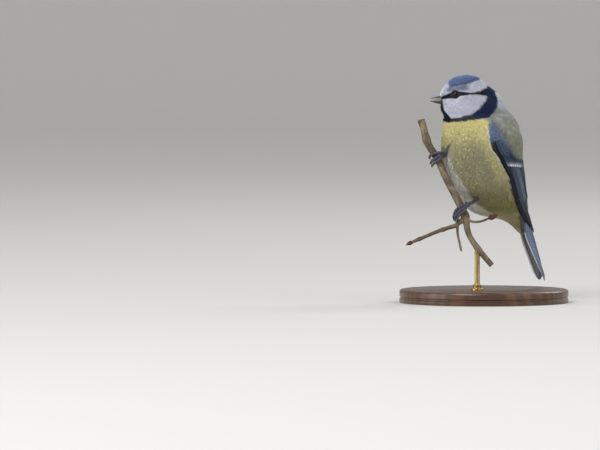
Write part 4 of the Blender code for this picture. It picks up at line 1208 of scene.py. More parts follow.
# Where a vane's points lie across it, from its right edge to its left
VANE_LANES = (-1.0, -0.72, -0.36, -0.05, 0.05, 0.36, 0.72, 1.0)


def vane_shares(rows):
    """The rows of a vane as shares of its length, closer together towards its tip."""
    return 1 - (1 - np.linspace(0, 1, rows)) ** 1.25


def vane_arrays(points, normals, widths, tilt, shaft, camber, rng):
    """One closed vane with a random ragged edge, from its shaft's points and normals, its widths and the
    share of its width left of the shaft. It gives points, triangles, shares across and along, millimetres for
    the barbs, and 1 for the points of its under side."""
    lanes = np.array(VANE_LANES)
    ahead = unit(np.gradient(points, axis=0))
    out = unit(normals - ahead * (normals * ahead).sum(-1)[:, None])
    left = np.cross(out, ahead)
    travelled = np.concatenate(([0], np.cumsum(np.linalg.norm(np.diff(points, axis=0), axis=1))))
    ragged = 1 + rng.uniform(-0.05, 0.05, (len(points), 2))
    rows_top, rows_low, share, barb = [], [], [], []
    for i, point in enumerate(points):
        across = left[i] * math.cos(tilt) + out[i] * math.sin(tilt)
        up = np.cross(across, ahead[i])
        up = up if up @ out[i] > 0 else -up
        sides = np.where(lanes > 0, 2 * shaft, 2 * (1 - shaft)) * widths[i] / 2
        sides = sides * np.where(lanes > 0, ragged[i, 0], ragged[i, 1])
        offset = lanes * sides
        bow = camber * (1 - lanes**2) * widths[i] - camber * 0.3 * widths[i]
        ridge = 0.1 * (np.abs(lanes) < 0.1)
        thick = VANE_THICKNESS * (1 - 0.75 * np.abs(lanes)) + 0.03
        middle = point + across * offset[:, None] + up * bow[:, None]
        rows_top.append(middle + up * (thick / 2 + ridge)[:, None])
        rows_low.append(middle - up * (thick / 2)[:, None])
        share.append(np.stack((lanes, np.full(lanes.size, i / (len(points) - 1))), -1))
        barb.append(np.stack((offset, np.full(lanes.size, travelled[i])), -1))
    top, low = np.array(rows_top), np.array(rows_low)
    rows, columns = top.shape[:2]
    number = np.arange(rows * columns).reshape(rows, columns)
    a, b, c, d = number[:-1, :-1], number[:-1, 1:], number[1:, 1:], number[1:, :-1]
    upper = np.concatenate((np.stack((a, b, c), -1).reshape(-1, 3), np.stack((a, c, d), -1).reshape(-1, 3)))
    lower = upper[:, ::-1] + rows * columns
    rim = np.concatenate((number[0, :-1], number[:-1, -1], number[-1, :0:-1], number[:0:-1, 0]))
    following = np.roll(rim, -1)
    under, under_next = rim + rows * columns, following + rows * columns
    walls = (np.stack((rim, under, under_next), -1), np.stack((rim, under_next, following), -1))
    faces = np.concatenate((upper, lower, *walls))
    points_all = np.concatenate((top.reshape(-1, 3), low.reshape(-1, 3)))
    tetra = points_all[faces] - points_all.mean(0)
    if (np.cross(tetra[:, 0], tetra[:, 1]) * tetra[:, 2]).sum() < 0:
        faces = faces[:, ::-1]
    share, barb = np.array(share).reshape(-1, 2), np.array(barb).reshape(-1, 2)
    under_side = np.concatenate((np.zeros(len(share)), np.ones(len(share))))
    return points_all, faces, np.concatenate((share, share)), np.concatenate((barb, barb)), under_side


class Vanes:
    """Closed vanes gathered into one piece, each face of each with its own cell of the bake's map."""

    CELLS = 8

    def __init__(self):
        self.points, self.faces, self.colours, self.uvs, self.barbs = [], [], [], [], []
        self.count, self.number = 0, 0

    def add(self, arrays, colours):
        points, faces, share, barb, under_side = arrays
        self.points.append(points)
        self.faces.append(faces + self.count)
        self.count += len(points)
        self.colours.append(colours)
        cell = self.number * 2 + under_side
        x, y = cell % self.CELLS, cell // self.CELLS
        local = np.stack(((share[:, 0] + 1) / 2, share[:, 1]), -1) * 0.9 + 0.05
        self.uvs.append((np.stack((x, y), -1) + local) / self.CELLS)
        self.barbs.append(barb)
        self.number += 1

    def build(self, name):
        arrays = (self.points, self.faces, self.colours, self.uvs, self.barbs)
        return object_from_arrays(name, *(np.concatenate(parts) for parts in arrays))


# Outlines of vanes: their width at shares of their length
LONG_OUTLINE = (
    (0.0, 0.45), (0.15, 0.8), (0.4, 1.0), (0.7, 1.0), (0.84, 0.9), (0.93, 0.7), (0.975, 0.45), (1.0, 0.12),
)
BROAD_OUTLINE = ((0.0, 0.55), (0.4, 1.0), (0.75, 1.0), (0.9, 0.82), (0.97, 0.5), (1.0, 0.15))
TAIL_OUTLINE = ((0.0, 0.8), (0.3, 1.0), (0.8, 1.0), (0.9, 0.92), (0.955, 0.74), (0.985, 0.45), (1.0, 0.15))

# The wing's groups of feathers: name, the roots' height, the degrees behind the front edge of the first and
# last root, each tip's height, the degrees of the first and last tip, width, lift over the bed, share of the
# vane in front of its shaft, outline
WING_GROUPS = (
    ("primary", 78.0, (4.5, 27.0), (38.4, 36.5, 35.6, 35.8, 36.8, 38.6, 40.6, 42.6, 44.4), (3.0, 30.0),
     3.9, 0.0, 0.3, LONG_OUTLINE),
    ("secondary", 78.6, (27.0, 47.5), (49.8, 50.5, 51.2, 51.9, 52.6, 53.3, 54.0), (27.0, 50.0),
     4.3, 0.0, 0.36, LONG_OUTLINE),
    ("tertial", 80.0, (42.0, 54.0), (54.0, 57.5, 61.5), (45.0, 59.0),
     5.3, 0.35, 0.45, LONG_OUTLINE),
    ("primary_covert", 84.0, (3.5, 12.0), (65.6, 66.0, 66.6, 67.2, 68.0), (2.5, 10.0),
     2.6, 0.4, 0.4, BROAD_OUTLINE),
    ("alula", 86.0, (2.5, 4.5), (72.6, 75.0), (4.0, 5.5),
     2.6, 0.7, 0.4, BROAD_OUTLINE),
    ("greater_covert", 82.0, (12.0, 51.0), (71.1, 71.0, 70.9, 70.8, 70.7, 70.5, 70.3, 70.1, 69.9, 69.7),
     (11.0, 50.0), 3.5, 0.5, 0.42, BROAD_OUTLINE),
    ("median_covert", 87.0, (7.0, 30.0), (76.6, 76.2, 75.9, 75.6, 75.4, 75.2), (9.0, 34.0),
     3.2, 0.85, 0.45, BROAD_OUTLINE),
)
# Rows of points along the vanes of the flight feathers, and of all the others
VANE_ROWS = {"primary": 18, "secondary": 15, "tertial": 14}
COVERT_ROWS = 9


def wing_colours(colours, group, share, under_side, index, rng):
    """A vane's colours. across is -1 at its rear edge and 1 at its front edge, and along is 0 at its root."""
    across, along = share[:, 0], share[:, 1]
    plain = plain_colour(across.shape)
    front = smooth_step(across, -0.05, 0.35)
    rim = smooth_step(np.abs(across), 0.8, 1.0)
    tip = smooth_step(along, 0.93, 1.0)
    if group == "primary":
        colour = mix(plain * colours.flight, colours.edge, 0.6 * front * (1 - smooth_step(along, 0.45, 0.95)))
        colour = mix(colour, colours.bar, 0.3 * smooth_step(across, 0.75, 1.0) * (index > 2))
        # The three front primaries are painted near black: partly their own dark webs, partly painted shadow
        # where the wing's front edge meets the body
        colour = mix(colour, WING_BLACK_AND_SHADOW, 0.9 * (index < 3))
        streak = smooth_step(across, 0.6, 0.9) * between(along, 0.5, 0.93, 0.04)
        colour = mix(colour, colours.bar, 0.9 * streak * (index == 3))
        colour = mix(colour, WORN_TIP, 0.5 * tip * (index > 2))
    elif group == "secondary":
        colour = mix(plain * colours.flight, colours.edge, 0.7 * front)
        colour = mix(colour, colours.tertial, 0.4 * front * smooth_step(along, 0.5, 0.9))
        colour = mix(colour, colours.bar, 0.22 * smooth_step(across, 0.75, 1.0))
        colour = mix(colour, colours.bar, 0.4 * tip)
    elif group == "tertial":
        colour = mix(plain * colours.tertial, colours.flight, 0.5 * (1 - front))
        colour = mix(colour, colours.bar, 0.65 * np.maximum(tip, 0.5 * rim * smooth_step(along, 0.6, 0.95)))
    elif group == "primary_covert":
        colour = mix(plain * WING_BLACK_AND_SHADOW, colours.covert, (0.25 + 0.75 * front) * index / 4)
    elif group == "alula":
        colour = mix(plain * WING_BLACK_AND_SHADOW, colours.bar, 0.04 * smooth_step(across, 0.75, 1.0))
    elif group == "greater_covert":
        colour = mix(plain * colours.covert, colours.flight, 0.4 * (1 - front))
        colour = mix(colour, colours.bar, smooth_step(along, 0.725, 0.81) * (0.92 if index > 0 else 0.5))
    else:
        colour = mix(plain * colours.lesser, colours.covert, 0.7)
        # The front median coverts are darkened: partly their own colour, partly painted shadow at the wing's
        # front edge
        colour = mix(colour, colours.stripe, 0.5 * max(0, 1 - index / 2))
    colour = mix(colour, colours.tail_under, 0.5 * under_side)
    return colour * rng.uniform(0.92, 1.06)


def make_wing(side, colours, material, coat, rng):
    """One folded wing: its vanes, the cushion of its shoulder and the small feathers on that."""
    wing = "wing_" + side_name(side)
    flight, coverts = Vanes(), Vanes()
    for group, root_height, root_turns, tip_heights, tip_turns, width, lift, shaft, outline in WING_GROUPS:
        along = vane_shares(VANE_ROWS.get(group, COVERT_ROWS))
        widths = width * read_line(outline, along)
        sunk = 1.3 * (1 - smooth_step(along, 0.0, 0.45)) * (group not in VANE_ROWS)
        for i, tip_height in enumerate(tip_heights):
            share = i / (len(tip_heights) - 1)
            root_turn, tip_turn = (first + (last - first) * share for first, last in (root_turns, tip_turns))
            height = root_height + (tip_height - root_height) * along
            behind = root_turn + (tip_turn - root_turn) * along
            points, normals = wing_points(side, height, behind, WING_LIFT + lift - sunk)
            left_share = shaft if side < 0 else 1 - shaft
            arrays = vane_arrays(points, normals, widths, -side * VANE_TILT, left_share, 0.05, rng)
            share_map = arrays[2] * (-side, 1)
            target = flight if group in VANE_ROWS else coverts
            target.add(arrays, wing_colours(colours, group, share_map, arrays[4], i, rng))
    small, scapulars = make_shoulder_feathers(side, colours, rng)
    for piece, look, slot in (
        (flight.build(wing + "_flight_feathers"), material, "flight_feathers"),
        (coverts.build(wing + "_coverts"), material, "flight_feathers"),
        (make_shoulder(side, colours), coat, "flight_feathers"),
        (small.build(wing + "_small_coverts"), coat, "flight_feathers"),
        (scapulars.build(wing + "_scapulars"), coat, "body_plumage"),
    ):
        finish_piece(piece, look, slot, wing)


def shoulder_spot(along, round_it):
    """Heights and turns in degrees at shares -1 to 1 up a shoulder's cushion and round it."""
    turn = SHOULDER_ANGLE + SHOULDER_HALF_ANGLE * round_it - SHOULDER_LEAN * along
    return SHOULDER_HEIGHT + SHOULDER_HALF_HEIGHT * along, turn


def bed_points(side, height, turn, lift):
    """Points lifted off a wing's bed, from heights and turns in degrees."""
    at, angle = row_at(WING_BED, height), side * np.radians(turn)
    return ring_points(WING_BED, at, angle) + ring_normals(WING_BED, at, angle) * np.asarray(lift)[..., None]


def cushion_lift(along, round_it):
    """How high the cushion stands over the bed at shares up and round it."""
    inside = np.clip(1 - along**2 - round_it**2, 0, 1)
    return 0.25 + SHOULDER_RISE * inside**0.6


def make_shoulder(side, colours):
    """The cushion that rounds a wing's shoulder under its small feathers."""
    bm, co = unit_sphere(48, 24)
    lift = np.where(co[:, 2] > 0, 0.1 + (SHOULDER_RISE - 0.35) * co[:, 2], 0.1 + 0.1 * co[:, 2])
    height, turn = shoulder_spot(co[:, 1], co[:, 0])
    points = bed_points(side, height, turn, lift)
    cushion = object_from_moved(f"wing_{side_name(side)}_shoulder", bm, points)
    # The cushion is painted darker than its small feathers: painted shade under them
    tint(cushion.data, wing_markings(colours, height, turn) * 0.6)
    return cushion


# The small feathers on a shoulder: whether they are scapulars, their spacing, how far down and how far out
# they grow as shares of the cushion, their length, and where they bend
SHOULDER_FEATHERS = (
    (False, 0.085, -0.64, 0.98, 2.8, SHORT_SHARES),
    (True, 0.084, -0.47, 1.15, 4.6, LONG_SHARES),
)
# How far the ground of the small feathers reaches past the cushion
SHOULDER_REACH = 1.25


def make_shoulder_feathers(side, colours, rng):
    """Small blue coverts on the cushion, and the green scapulars that lie over it from behind."""

    def spread_out(along, round_it):
        return (along * 2 - 1) * SHOULDER_REACH, (round_it * 2 - 1) * SHOULDER_REACH * side

    def paint(along, round_it):
        return wing_markings(colours, *shoulder_spot(*spread_out(along, round_it)))

    def place_at(extra):
        def place(along, round_it):
            a, r = spread_out(along, round_it)
            height, turn = shoulder_spot(a, r)
            plateau = 2.3 * smooth_step(height, 68, 74) * (1 - smooth_step(turn, 120, 140))
            lift = np.maximum(cushion_lift(a, r), plateau * extra * (1 - smooth_step(height, 82, 97)))
            lift = lift + extra * (0.3 - 1.0 * smooth_step(height, 86, 98))
            return bed_points(side, height, turn, lift)
        return place

    made = []
    for scapular, space, low, outermost, length, bends in SHOULDER_FEATHERS:
        ground = Ground(place_at(float(scapular)), 90, 90)
        grid = np.arange(-1.1, 1.1, space)
        a, r = (values.reshape(-1) for values in np.meshgrid(grid, grid, indexing="ij"))
        a = a + rng.uniform(-0.3, 0.3, a.size) * space
        r = r + rng.uniform(-0.3, 0.3, r.size) * space
        height, turn = shoulder_spot(a, r)
        edge = read_line(SCAPULAR_EDGE, height)
        inside = (turn > edge + 1) if scapular else (turn < edge + 8)
        inside &= (a**2 + r**2 < outermost) & (a > low)
        a, r = a[inside], r[inside]
        places = ((a / SHOULDER_REACH + 1) / 2, (r * side / SHOULDER_REACH + 1) / 2)
        points = place_at(float(scapular))(*places)
        on, out, _, _ = ground.settle(points)
        out = out if (out * (points - in_bird(0, 0, 84))).sum() > 0 else -out
        ahead, left = heading(0.0)
        down = -ahead * 0.25 - np.array((0, 0, 1.0)) + left * (0.10 * side)
        way = unit(down - out * (out @ down)[:, None])
        blades = Blades()
        grow(blades, ground, on, out, way, rng, length=length, width=0.3, depth=0.55, spread=0.95, number=9,
             shares=bends, lift=0.2, paint=paint, places=places, vary=0.2)
        made.append(blades)
    return made


def flank_dip(height):
    """How many degrees further forward the flank's feathers end where the wing's dark front edge shows."""
    return 3.6 * between(height, 79, 88, 3)


# Where the flank's feathers lie: heights, and degrees before and behind the wing's front edge
FLANK_LOW, FLANK_TALL = 43.0, 58.0
FLANK_BEFORE, FLANK_BEHIND = 16.0, 12.0


def make_flank(side, colours, material, rng):
    """The pale feathers of the flank that lap over the front edge of the wing."""
    wide = FLANK_BEFORE + FLANK_BEHIND

    def spot(along, round_it):
        share = round_it if side > 0 else 1 - np.asarray(round_it)
        return FLANK_LOW + FLANK_TALL * np.asarray(along), wide * share - FLANK_BEFORE

    def place(along, round_it):
        height, past = spot(along, round_it)
        return bed_points(side, height, edge_angle(height) + past, 0.1 + 1.4 * smooth_step(past, -6, 2))

    def paint(along, round_it):
        height, past = spot(along, round_it)
        base = markings(colours, height, np.radians(edge_angle(height) - 14))
        rim = smooth_step(past + flank_dip(height), -3.0, -0.6) * (1 - smooth_step(height, 90, 95))
        return mix(base, colours.pale, 0.6 * rim * smooth_step(height, 64, 76))

    ground = Ground(place, 160, 40)
    grids = np.meshgrid(np.linspace(0.06, 0.86, 66), (-8, -5.8, -3.6))
    along, past = (grid.reshape(-1) for grid in grids)
    shown = past < -5 + 5 * smooth_step(along, 0.3, 0.5)
    along, past = along[shown] + rng.uniform(-0.006, 0.006, shown.sum()), past[shown]
    past = past - flank_dip(FLANK_LOW + FLANK_TALL * along)
    share = (past + rng.uniform(-1.2, 1.2, past.size) + FLANK_BEFORE) / wide
    share = share if side > 0 else 1 - share
    points = place(along, share)
    down = unit(place(along - 0.01, share) - points)
    back = unit(place(along, share + 0.02 * side) - points)
    on, out, _, _ = ground.settle(points)
    blades = Blades()
    grow(blades, ground, on, out, unit(down + 0.3 * back), rng, length=rng.uniform(3.4, 4.8, len(points)),
         width=0.24, depth=0.7, spread=1.0, number=10, shares=LONG_SHARES, lift=0.15, paint=paint,
         places=(along, share))
    finish_piece(blades.build(f"flank_{side_name(side)}_feathers"), material, "body_plumage")


def make_tail(colours, material, rng):
    """Twelve tail feathers, roofed over one another."""
    ahead, left = heading(0.0)
    along = -ahead * math.sin(TAIL_SLOPE) - np.array((0, 0, math.cos(TAIL_SLOPE)))
    back = -ahead * math.cos(TAIL_SLOPE) + np.array((0, 0, math.sin(TAIL_SLOPE)))
    roll = np.array(Matrix.Rotation(-TAIL_ROLL, 3, Vector(along)))
    back, left = roll @ back, roll @ left
    root = in_bird(TAIL_ROOT[0], 0, TAIL_ROOT[1]) + back * TAIL_ROOT_BACK
    share = vane_shares(20)
    steep = np.radians(read_line(TAIL_ROOF, share))[:, None]
    half_width = blended(TAIL_REACH, row_at(TAIL_REACH, share))[:, 1]
    widths = TAIL_FEATHER_WIDTH * read_line(TAIL_OUTLINE, share)
    outermost = len(TAIL_LENGTHS) - 1
    vanes = Vanes()
    for k, length in enumerate(TAIL_LENGTHS):
        for side in (1, -1):
            out = left * side * np.cos(steep) - back * np.sin(steep)
            normal = back * np.cos(steep) + left * side * np.sin(steep)
            shaft = 0.5 - 0.16 * k / outermost
            reach = half_width - TAIL_FEATHER_WIDTH * shaft
            spread = TAIL_MIDDLE + (reach - TAIL_MIDDLE) * k / outermost
            points = root + along * (length * share)[:, None] + out * spread[:, None]
            points = points - normal * (TAIL_STACKING * k)
            arrays = vane_arrays(points, normal, widths, 0.0, 1 - shaft if side > 0 else shaft, 0.03, rng)
            across, under_side = -arrays[2][:, 0] * side, arrays[4]
            colour = plain_colour(across.shape) * colours.tail
            colour = mix(colour, colours.flight, 0.6 * (1 - smooth_step(across, -0.3, 0.2)) * (k > 0))
            colour = mix(colour, colours.tail_under, 0.85 * under_side)
            if k == outermost:
                rim = smooth_step(across + 0.1 * under_side, 0.5, 0.8)
            else:
                rim = 0.4 * smooth_step(across, 0.8, 1.0)
            vanes.add(arrays, mix(colour, colours.bar, rim) * rng.uniform(0.94, 1.05))
    finish_piece(vanes.build("tail_feathers"), material, "flight_feathers", "tail")


# ------------------------------------------------------------ eyes and bill


def ball(name, radius, centre, segments, turn=Matrix()):
    """A sphere in millimetres, turned by a matrix."""
    bm = bmesh.new()
    bmesh.ops.create_uvsphere(bm, u_segments=segments[0], v_segments=segments[1], radius=radius * MM,
                              matrix=Matrix.Translation(Vector(centre * MM)) @ turn)
    return object_from_bmesh(name, bm)


def make_eye(side, colours):
    """One eyeball, glossy and dark, with the iris and pupil stored as a tint."""
    centre, look = eye_place(side)
    turn = Vector(look).to_track_quat("Z", "Y").to_matrix().to_4x4()
    eye = ball(f"eye_{side_name(side)}_ball", EYE_RADIUS, centre, (48, 32), turn)
    co = np.empty(len(eye.data.vertices) * 3)
    eye.data.vertices.foreach_get("co", co)
    gaze = unit(co.reshape(-1, 3) / MM - centre) @ look
    iris = mix(plain_colour(gaze.shape) * colours.iris, PUPIL, smooth_step(gaze, 0.86, 0.9))
    tint(eye.data, mix(iris, EYE_RIM, 1 - smooth_step(gaze, 0.5, 0.6)))
    return eye


def make_lid(side):
    """The ring of bare skin round an eye, beaded, and a little wider to both corners."""
    centre, look = eye_place(side)
    up = unit(np.array((0, 0, 1.0)) - look * look[2])
    aside = np.cross(up, look)
    turns = np.linspace(0, 2 * math.pi, 64, endpoint=False)
    radius = LID_RADIUS + 0.10 * np.cos(turns) ** 2
    height = math.sqrt(EYE_RADIUS**2 - LID_RADIUS**2) + 0.06
    round_it = aside * np.cos(turns)[:, None] + up * np.sin(turns)[:, None]
    path = centre + look * height + round_it * radius[:, None]
    beads = LID_THICKNESS + 0.03 * np.cos(turns * LID_BEADS)
    bm = bmesh.new()
    rings = []
    section = np.linspace(0, 2 * math.pi, 8, endpoint=False)
    for point, thickness in zip(path, beads):
        outward = unit(point - centre - look * ((point - centre) @ look))
        ring = point + (outward * np.cos(section)[:, None] + look * np.sin(section)[:, None]) * thickness
        rings.append(ring_edges(bm, ring))
    for before, after in zip(rings, rings[1:] + rings[:1]):
        bmesh.ops.bridge_loops(bm, edges=before + after)
    return object_from_bmesh(f"eye_{side_name(side)}_lid", bm)


def make_bill_half(name, way, height, width, bend, colours):
    """One half of the bill: a fine loft, flat on the mouth's side, with a ridge or keel."""
    root, ahead, left = bill_base()
    lift = BILL_RISE + way * GAPE / 2
    out = ahead * math.cos(lift) + np.array((0, 0, math.sin(lift)))
    up = np.cross(out, left)
    steps, sides = 44, 32
    angles = np.concatenate((np.linspace(0, math.pi, sides), np.linspace(math.pi, 2 * math.pi, 10)[1:-1]))
    lifted = np.sin(angles)
    side_colour = colours.bill_edge if way > 0 else colours.bill_lower
    plain = plain_colour(angles.shape) * side_colour
    sides_and_ridge = mix(plain, colours.bill, smooth_step(lifted, 0.2, 0.75))
    rings, tints = [], []
    for i in range(steps):
        share = i / (steps - 1)
        taper = (1 - share) ** 0.75
        forward = BILL_LENGTH * share - BILL_ROOT
        place = root + out * forward - up * bend * share**2 + np.array((0, 0, way * 0.1))
        wide, tall = width * max(taper, 0.07), height * max(taper, 0.1)
        x = wide * np.sign(np.cos(angles)) * np.abs(np.cos(angles)) ** 0.9
        y = np.where(lifted > 0, tall * np.maximum(lifted, 0) ** 0.92, -0.06 * lifted * wide)
        nostril = np.hypot(forward - NOSTRIL_FORWARD, y - NOSTRIL_RISE) if way > 0 else np.full(x.size, 9.0)
        x = x * (1 - 0.12 * (1 - smooth_step(nostril, 0.2, 0.55)))
        rings.append(place + left * x[:, None] + up * (way * y)[:, None])
        colour = mix(sides_and_ridge, colours.bill, 0.6 * smooth_step(share, 0.75, 1.0))
        colour = mix(colour, colours.gape, lifted < -0.05)
        # The nostril's opening is painted near black: painted shade in its small hollow
        tints.append(mix(colour, NOSTRIL_SHADOW, 1 - smooth_step(nostril, 0.22, 0.42)))
    made = lofted(name, rings)
    tint(made.data, np.concatenate(tints))
    return made


# ------------------------------------------------------------ legs, feet and claws


def branch_point(height):
    """The branch's centre at a height and the way that it runs downwards."""
    at = row_at([(p[2], p[0], p[1]) for p in BRANCH_LINE], height)
    return blended(BRANCH_LINE, at), unit(blended(BRANCH_LINE, at + 0.05) - blended(BRANCH_LINE, at - 0.05))


def turned(vector, axis, angle):
    """A vector turned about an axis."""
    return np.array(Matrix.Rotation(angle, 3, Vector(axis)) @ Vector(vector))


def hind_toe(pad, turn):
    """Points from the pad round the far side of the branch."""
    centre, along = branch_point(pad[2])
    out = pad - centre
    out = unit(out - along * (out @ along))
    reach = BRANCH_RADIUS + 0.3 + TOE_RADIUS + 0.35
    shares = [i / 7 for i in range(1, 8)]
    return np.array([pad, *(centre + turned(out, along, turn * share) * reach + along * (0.6 + 0.8 * share)
                            for share in shares)])


def scaled_toe(name, path, radius):
    """A toe or a tarsus with overlapping scutes on its upper side and soft pads beneath."""
    length = np.linalg.norm(np.diff(path, axis=0), axis=1).sum()
    steps = max(int(length / 0.14), 8)
    line = smooth_path(path, steps)
    travelled = np.linspace(0, length, steps)
    scute = 1 - 0.07 * ((travelled / 0.75) % 1.0)
    joint = 1 + 0.10 * np.cos(travelled / length * 2 * math.pi * 1.6)

    def shape(i, angles):
        top = 0.5 + 0.5 * np.cos(angles)
        return joint[i] * (scute[i] * top + (1 - top) * 1.0)

    radii = np.full(steps, radius)
    radii[0] *= 0.7
    radii[-1] *= 0.8
    return lofted(name, round_rings(line, radii, 14, up=(0.3, 0.2, 1.0), shape=shape))


def make_claw(name, toe):
    """A hooked claw that carries on from a toe's end."""
    way = unit(toe[-1] - toe[-2])
    bend = way - unit(toe[-3] - toe[-4])
    bend = unit(bend - way * (bend @ way))
    share = np.linspace(0, 1, 16)
    path = toe[-1] + way * (CLAW_LENGTH * share - 0.15)[:, None] + bend * (CLAW_BEND * share**2)[:, None]
    radii = TOE_RADIUS * 0.85 * (1 - share) ** 0.8 + 0.05
    return lofted(name, round_rings(path, radii, 12, up=bend))


def make_leg(side, skin, horn):
    """The tarsus, the foot and the claws of one leg."""
    name = side_name(side)
    hip, pad, toes, hind_turn = LEGS[side]
    hip, pad = np.array(hip), np.array(pad)
    paths = [smooth_path((pad, *points), 9) for points in toes] + [hind_toe(pad, hind_turn)]
    shank = hip + (pad - hip) * np.linspace(0, 1.0, 6)[:, None]
    tarsus = scaled_toe(f"leg_{name}_tarsus", shank, TARSUS_RADIUS)
    parts = [scaled_toe("toe", path, TOE_RADIUS) for path in paths]
    parts.append(ball("pad", PAD_RADIUS, pad, (20, 14)))
    finish_piece(joined(f"leg_{name}_foot", parts), skin, "leg_skin", f"foot_{name}")
    finish_piece(tarsus, skin, "leg_skin", f"leg_{name}")
    for number, path in enumerate(paths, 1):
        claw = f"claw_{name}_{number}"
        finish_piece(make_claw(claw + "_horn", path), horn, "claw", claw)


# ------------------------------------------------------------ branch and stand


def branch_radius(share):
    """The stem's radius at a share of the way down it: thinner past the fork, thicker at its joints."""
    thinner = BRANCH_THINS / (1 + np.exp(-(share - BRANCH_FORK) * 40))
    swollen = sum(size * np.exp(-(((share - at) / 0.03) ** 2)) for at, size in BRANCH_NODES)
    return BRANCH_RADIUS - thinner + swollen


def bark_shape(rng):
    """A factor for each ring and angle that makes bark a little uneven."""
    waves = [(rng.uniform(0, 6.3), rng.uniform(0.05, 0.35), rng.integers(1, 5)) for _ in range(7)]

    def shape(i, angles):
        return 1 + sum(0.012 * np.sin(count * angles + pace * i + phase) for phase, pace, count in waves)

    return shape


def make_branch(rng):
    """The stem with its cut ends, and the twigs of its fork."""
    count = 150
    line = smooth_path(BRANCH_LINE, count)
    radii = branch_radius(np.arange(count) / (count - 1))
    pieces = [lofted("stem", round_rings(line, radii, 24, shape=bark_shape(rng)))]
    buds = []
    for points, radius, bud_scale in TWIGS:
        steps = 14 * (len(points) - 1) + 1
        path = smooth_path(points, steps)
        share = np.arange(steps) / (steps - 1)
        knots = 1 + 0.25 * np.exp(-(((share * (len(points) - 1) + 0.5) % 2 - 1) / 0.16) ** 2)
        radii = radius * (1.25 - 0.35 * share) * knots
        radii[-1] *= 0.6
        pieces.append(lofted("twig", round_rings(path, radii, 16, shape=bark_shape(rng))))
        if bud_scale:
            buds.append(make_bud(path, bud_scale))
    return joined("hazel_branch", pieces), joined("branch_buds", buds)


def make_bud(path, size):
    """A pointed bud with overlapping scales, at a path's end."""
    way = unit(path[-1] - path[-3])
    aside = unit(np.cross(way, (0.3, 0.1, 1.0)))
    over = np.cross(way, aside)
    share = np.linspace(-0.08, 1.0, 18)
    core_path = path[-1] + way * (BUD_LENGTH * size * share)[:, None]
    core_radii = BUD_RADIUS * size * read_line(BUD_PROFILE, share) * 0.93
    scales = [lofted("core", round_rings(core_path, core_radii, 18, up=over))]
    thick = np.repeat((1.07, 0.96), 9)
    for k in range(BUD_SCALES):
        low, spin = 0.09 * k, 2.4 * k
        high = min(low + 0.45, 0.97)
        rings = []
        for share in np.linspace(low, high, 8):
            radius = BUD_RADIUS * size * read_line(BUD_PROFILE, share)
            local = (share - low) / (high - low)
            spread = 1.15 * math.sqrt(max(1 - local**2.2, 0.0)) + 0.05
            angles = spin + np.linspace(-spread, spread, 9)
            both = np.concatenate((angles, angles[::-1]))
            round_it = aside * np.cos(both)[:, None] + over * np.sin(both)[:, None]
            rings.append(path[-1] + way * (BUD_LENGTH * size * share) + round_it * (radius * thick)[:, None])
        scales.append(lofted("scale", rings))
    return joined("bud", scales)


def turned_piece(name, profile, centre, segments):
    """A lathe-turned piece from a profile of (radius, height) in millimetres about an upright axis."""
    bm = bmesh.new()
    verts = [bm.verts.new(Vector((centre[0] + r, centre[1], z)) * MM) for r, z in profile]
    edges = [bm.edges.new(pair) for pair in zip(verts, verts[1:])]
    bmesh.ops.spin(bm, geom=verts + edges, cent=Vector((centre[0], centre[1], 0)) * MM, axis=(0, 0, 1),
                   angle=2 * math.pi, steps=segments, use_merge=True)
    bmesh.ops.remove_doubles(bm, verts=bm.verts, dist=1e-6)
    return object_from_bmesh(name, bm)


def rounded(corner_radius, corner_height, size, steps=6, top=True):
    """Points of a quarter round at the edge of a disc, from its side to its flat face."""
    way = 1 if top else -1
    return [(corner_radius - size + size * math.cos(a), corner_height - way * size + way * size * math.sin(a))
            for a in (math.pi / 2 * i / steps for i in range(steps + 1))]


def make_stand(rod_material, wood_material):
    """The turned base and the brass rod with its collar."""
    low, high = (np.array(corner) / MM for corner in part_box("stand_base"))
    radius, top = high[0], high[2]
    profile = [
        (0.0, low[2]), *rounded(radius, low[2], BASE_LOWER_EDGE, top=False)[::-1],
        (radius, 2.0), (radius - 0.5, 2.4), (radius - 0.5, 3.0), (radius, 3.4),
        *rounded(radius, top, BASE_UPPER_EDGE),
        (radius - 5.0, top), (radius - 5.4, top - 0.25), (radius - 5.8, top), (0.0, top),
    ]
    base = turned_piece("stand_turned_base", profile, (0, 0), 128)
    base.data.set_sharp_from_angle(angle=math.radians(35))
    low, high = (np.array(corner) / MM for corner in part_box("stand_rod"))
    middle = (low + high) / 2
    end, bottom, band = high[2], low[2] - 0.25, ROD_RADIUS + 0.25
    profile = [
        (0.0, bottom), (COLLAR_RADIUS, bottom), *rounded(COLLAR_RADIUS, bottom + 1.1, 0.35),
        (2.3, bottom + 1.2), (2.2, bottom + 2.0), *rounded(2.4, bottom + 2.9, 0.3), (1.5, bottom + 3.0),
        (ROD_RADIUS, bottom + 3.6), (ROD_RADIUS, end - 2.0), (band, end - 1.8), (band, end - 1.2),
        (ROD_RADIUS, end - 1.0), (ROD_RADIUS, end), (0.0, end),
    ]
    rod = turned_piece("stand_brass_rod", profile, middle, 48)
    rod.data.set_sharp_from_angle(angle=math.radians(40))
    finish_piece(base, wood_material, "stand_base", "stand_base")
    finish_piece(rod, rod_material, "stand_rod", "stand_rod")


# ------------------------------------------------------------ the other materials


def eye_material():
    """The wet gloss of an eye over its stored colours."""
    material, nodes, shader = new_material("Eye", 0.04, 0.25)
    nodes.link(nodes.tint(), shader.inputs["Base Color"])
    return material


